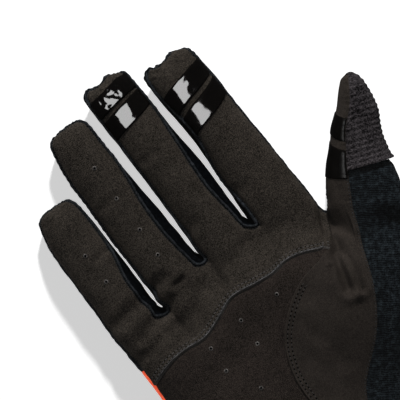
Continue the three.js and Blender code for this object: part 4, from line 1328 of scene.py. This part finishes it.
# Fourchette cloth: its own dark navy, darkened further to near black as painted shade for the deep slot
# walls
knitted("side_stretch", (0.0003, 0.0004, 0.0006), (0.0013, 0.0017, 0.0024), (0.006, 0.008, 0.011),
        loop=0.7, flecks=0.3, bumpDepth=0.1, specular=0.1)
knitted("back_knit", (0.0006, 0.0009, 0.0012), (0.0085, 0.0118, 0.0142), (0.032, 0.043, 0.05),
        loop=1.2, flecks=0.35, bumpDepth=0.25, specular=0.2)
napped("wipe_terry", (0.0035, 0.003, 0.0032), (0.07, 0.062, 0.066),
       grain=0.75, mottle=0.6, flecks=0.75, bumpDepth=0.45, specular=0.1)
napped("grip_silicone", siliconeDeep, siliconeTip,
       grain=2.0, mottle=0.4, flecks=0.5, bumpDepth=0.0, specular=0.5, Roughness=0.07)
napped("grip_scuffed", siliconeDeep, siliconeTip,
       grain=2.0, mottle=0.4, flecks=0.5, bumpDepth=0.0, specular=0.14, Roughness=0.42)
knitted("side_accent", (0.55, 0.06, 0.02), (1.0, 0.17, 0.06), (1.0, 0.34, 0.16),
        loop=0.9, flecks=0.4, bumpDepth=0.1, specular=0.3, sheen=0.3, **orangeGlow)
# Cut walls of the palm: lighter than the suede, partly the pale cut, partly a painted highlight
napped("suede_cut", (0.03, 0.028, 0.026), (0.1, 0.094, 0.088),
       grain=0.4, mottle=0.3, flecks=0.8, bumpDepth=0.05, specular=0.2, sheen=0.05)
napped("thread_taupe", (0.014, 0.0138, 0.0142), (0.105, 0.103, 0.106),
       grain=0.3, mottle=0.2, flecks=0.8, bumpDepth=0.05, specular=0.3, sheen=0.1)
napped("thread_brown", (0.008, 0.007, 0.006), (0.036, 0.031, 0.028),
       grain=0.3, mottle=0.2, flecks=0.7, bumpDepth=0.05, specular=0.3, sheen=0.1)
napped("thread_navy", (0.004, 0.005, 0.006), (0.026, 0.03, 0.036),
       grain=0.3, mottle=0.3, flecks=0.75, bumpDepth=0.05, specular=0.3, sheen=0.1)
napped("binding_navy", (0.0035, 0.0042, 0.005), (0.032, 0.036, 0.041),
       grain=0.45, mottle=0.7, flecks=0.7, bumpDepth=0.1, specular=0.12)
# Pale tube on the heel seam: the suede's cut edge, lightened as a painted highlight
napped("cut_edge", (0.018, 0.018, 0.0185), (0.17, 0.17, 0.175),
       grain=0.5, mottle=0.6, flecks=0.7, bumpDepth=0.1, specular=0.12)
# Near-black painted shade for the insides of air holes and needle holes
napped("pit_dark", (0.0008, 0.0008, 0.0008), (0.002, 0.002, 0.002),
       grain=0.5, mottle=0.1, flecks=0.5, bumpDepth=0.02, specular=0.05)
# Lighter suede on the raised hole rims: a painted highlight where the rims catch the light
napped("rim_suede", (0.03, 0.028, 0.026), (0.14, 0.132, 0.124),
       grain=0.7, mottle=0.5, flecks=0.8, bumpDepth=0.05, specular=0.2)

# Which finish each piece wears
looks = {name: cloth.get("look", cloth["slot"]) for name, cloth in panelCloth.items()}
looks.update({name: "grip_scuffed" if name.startswith("thumb") else "grip_silicone" for name in gripSizes})
looks.update({name: "thread_navy" for name in threadRows})
looks.update({name: "binding_navy" for name in bindings})
looks.update({"heel_stitches": "thread_taupe", "gusset_stitches": "thread_brown", "heel_edge": "cut_edge",
              "air_hole_rims": "rim_suede", "air_hole_pits": "pit_dark", "needle_holes": "pit_dark"})
for name, look in looks.items():
    pieces[name].data.materials.append(cloths[look])
for name, walls in cutHighlightWalls.items():
    pieces[name].data.materials.append(cloths["suede_cut"])
    for i in walls:
        pieces[name].data.polygons[i].material_index = 1
pieces["side_trim"].visible_diffuse = False    # keeps its orange off the white paper
print("materials assigned")

# Camera straight above the palm, turned as in the photograph
camera = bpy.data.objects.new("camera", bpy.data.cameras.new("camera"))
bpy.context.scene.collection.objects.link(camera)
camera.location = Vector(shot["middle"]) * millimetre + Vector((0, 0, shot["away"] * millimetre))
camera.rotation_euler = (0, 0, math.radians(shot["turn"]))
camera.data.sensor_width = shot["sensor"]
camera.data.lens = shot["sensor"] * shot["away"] / shot["field"]
camera.data.clip_start, camera.data.clip_end = 0.01, 50
bpy.context.scene.camera = camera

# Plain pale floor and soft studio light
studio = {
    "floorSize": 6.0, "floorDrop": 0.0002, "floorGlow": 0.6, "floorTone": 0.8,
    "ambient": (0.03, 0.03, 0.031, 1), "backdrop": (0.9, 0.9, 0.9, 1),
}
floorMesh = bpy.data.meshes.new("floor")
half = studio["floorSize"] / 2
corners = [(-half, -half, 0), (half, -half, 0), (half, half, 0), (-half, half, 0)]
floorMesh.from_pydata(corners, [], [(0, 1, 2, 3)])
floor = bpy.data.objects.new("floor", floorMesh)
floor.location.z = -studio["floorDrop"]
bpy.context.scene.collection.objects.link(floor)
floorMaterial = newMaterial("floor_paper", specular=0.0, Roughness=1.0)
floorShader = floorMaterial.node_tree.nodes["Principled BSDF"]
tone = studio["floorTone"]
floorShader.inputs["Base Color"].default_value = (tone, tone, tone, 1)
floorShader.inputs["Emission Color"].default_value = (1, 1, 1, 1)
floorShader.inputs["Emission Strength"].default_value = studio["floorGlow"]
floorMesh.materials.append(floorMaterial)
floor.visible_glossy = False

world = bpy.data.worlds.new("studio")
world.use_nodes = True
bpy.context.scene.world = world
bench = NodeBench(world.node_tree)
backdrop = world.node_tree.nodes["Background"]
seen = bench.add("ShaderNodeLightPath").outputs["Is Camera Ray"]
surroundings = bench.blend(seen, studio["ambient"], studio["backdrop"])
world.node_tree.links.new(surroundings, backdrop.inputs["Color"])

# Each light: image-right, image-up and height in m from the palm, size in m, radiance
lamps = {
    "softbox": {"place": (-0.17, 0.05, 1.0), "size": (0.5, 0.42), "radiance": 11.0,
                "glossOnly": True, "onFloor": False},
    "fill": {"place": (0.1, 0.1, 1.3), "size": (0.6, 0.6), "radiance": 2.2,
             "glossOnly": False, "onFloor": False},
    "side": {"place": (-1.5, 0.3, 0.45), "size": (0.4, 0.4), "radiance": 15.0,
             "glossOnly": False, "onFloor": False},
    "key": {"place": (0.03, 1.9, 0.95), "size": (0.15, 0.15), "radiance": 860.0,
            "glossOnly": False, "onFloor": True},
}
turn = math.radians(shot["turn"])
imageRight = Vector((math.cos(turn), math.sin(turn), 0))
imageUp = Vector((-math.sin(turn), math.cos(turn), 0))
gloveOnly = bpy.data.collections.new("glove_only")
for piece in pieces.values():
    gloveOnly.objects.link(piece)
for name, lamp in lamps.items():
    light = bpy.data.lights.new(name, "AREA")
    light.shape = "RECTANGLE"
    light.size, light.size_y = lamp["size"]
    light.energy = lamp["radiance"] * math.pi * light.size * light.size_y
    item = bpy.data.objects.new(name, light)
    bpy.context.scene.collection.objects.link(item)
    right, up, height = lamp["place"]
    target = Vector(shot["middle"]) * millimetre
    item.location = target + imageRight * right + imageUp * up + Vector((0, 0, height))
    item.rotation_euler = (target - item.location).to_track_quat("-Z", "Y").to_euler()
    item.visible_glossy = lamp["glossOnly"]
    item.visible_diffuse = not lamp["glossOnly"]
    if not lamp["onFloor"]:
        item.light_linking.receiver_collection = gloveOnly
bpy.context.scene.view_settings.view_transform = "Standard"
print("studio lit")
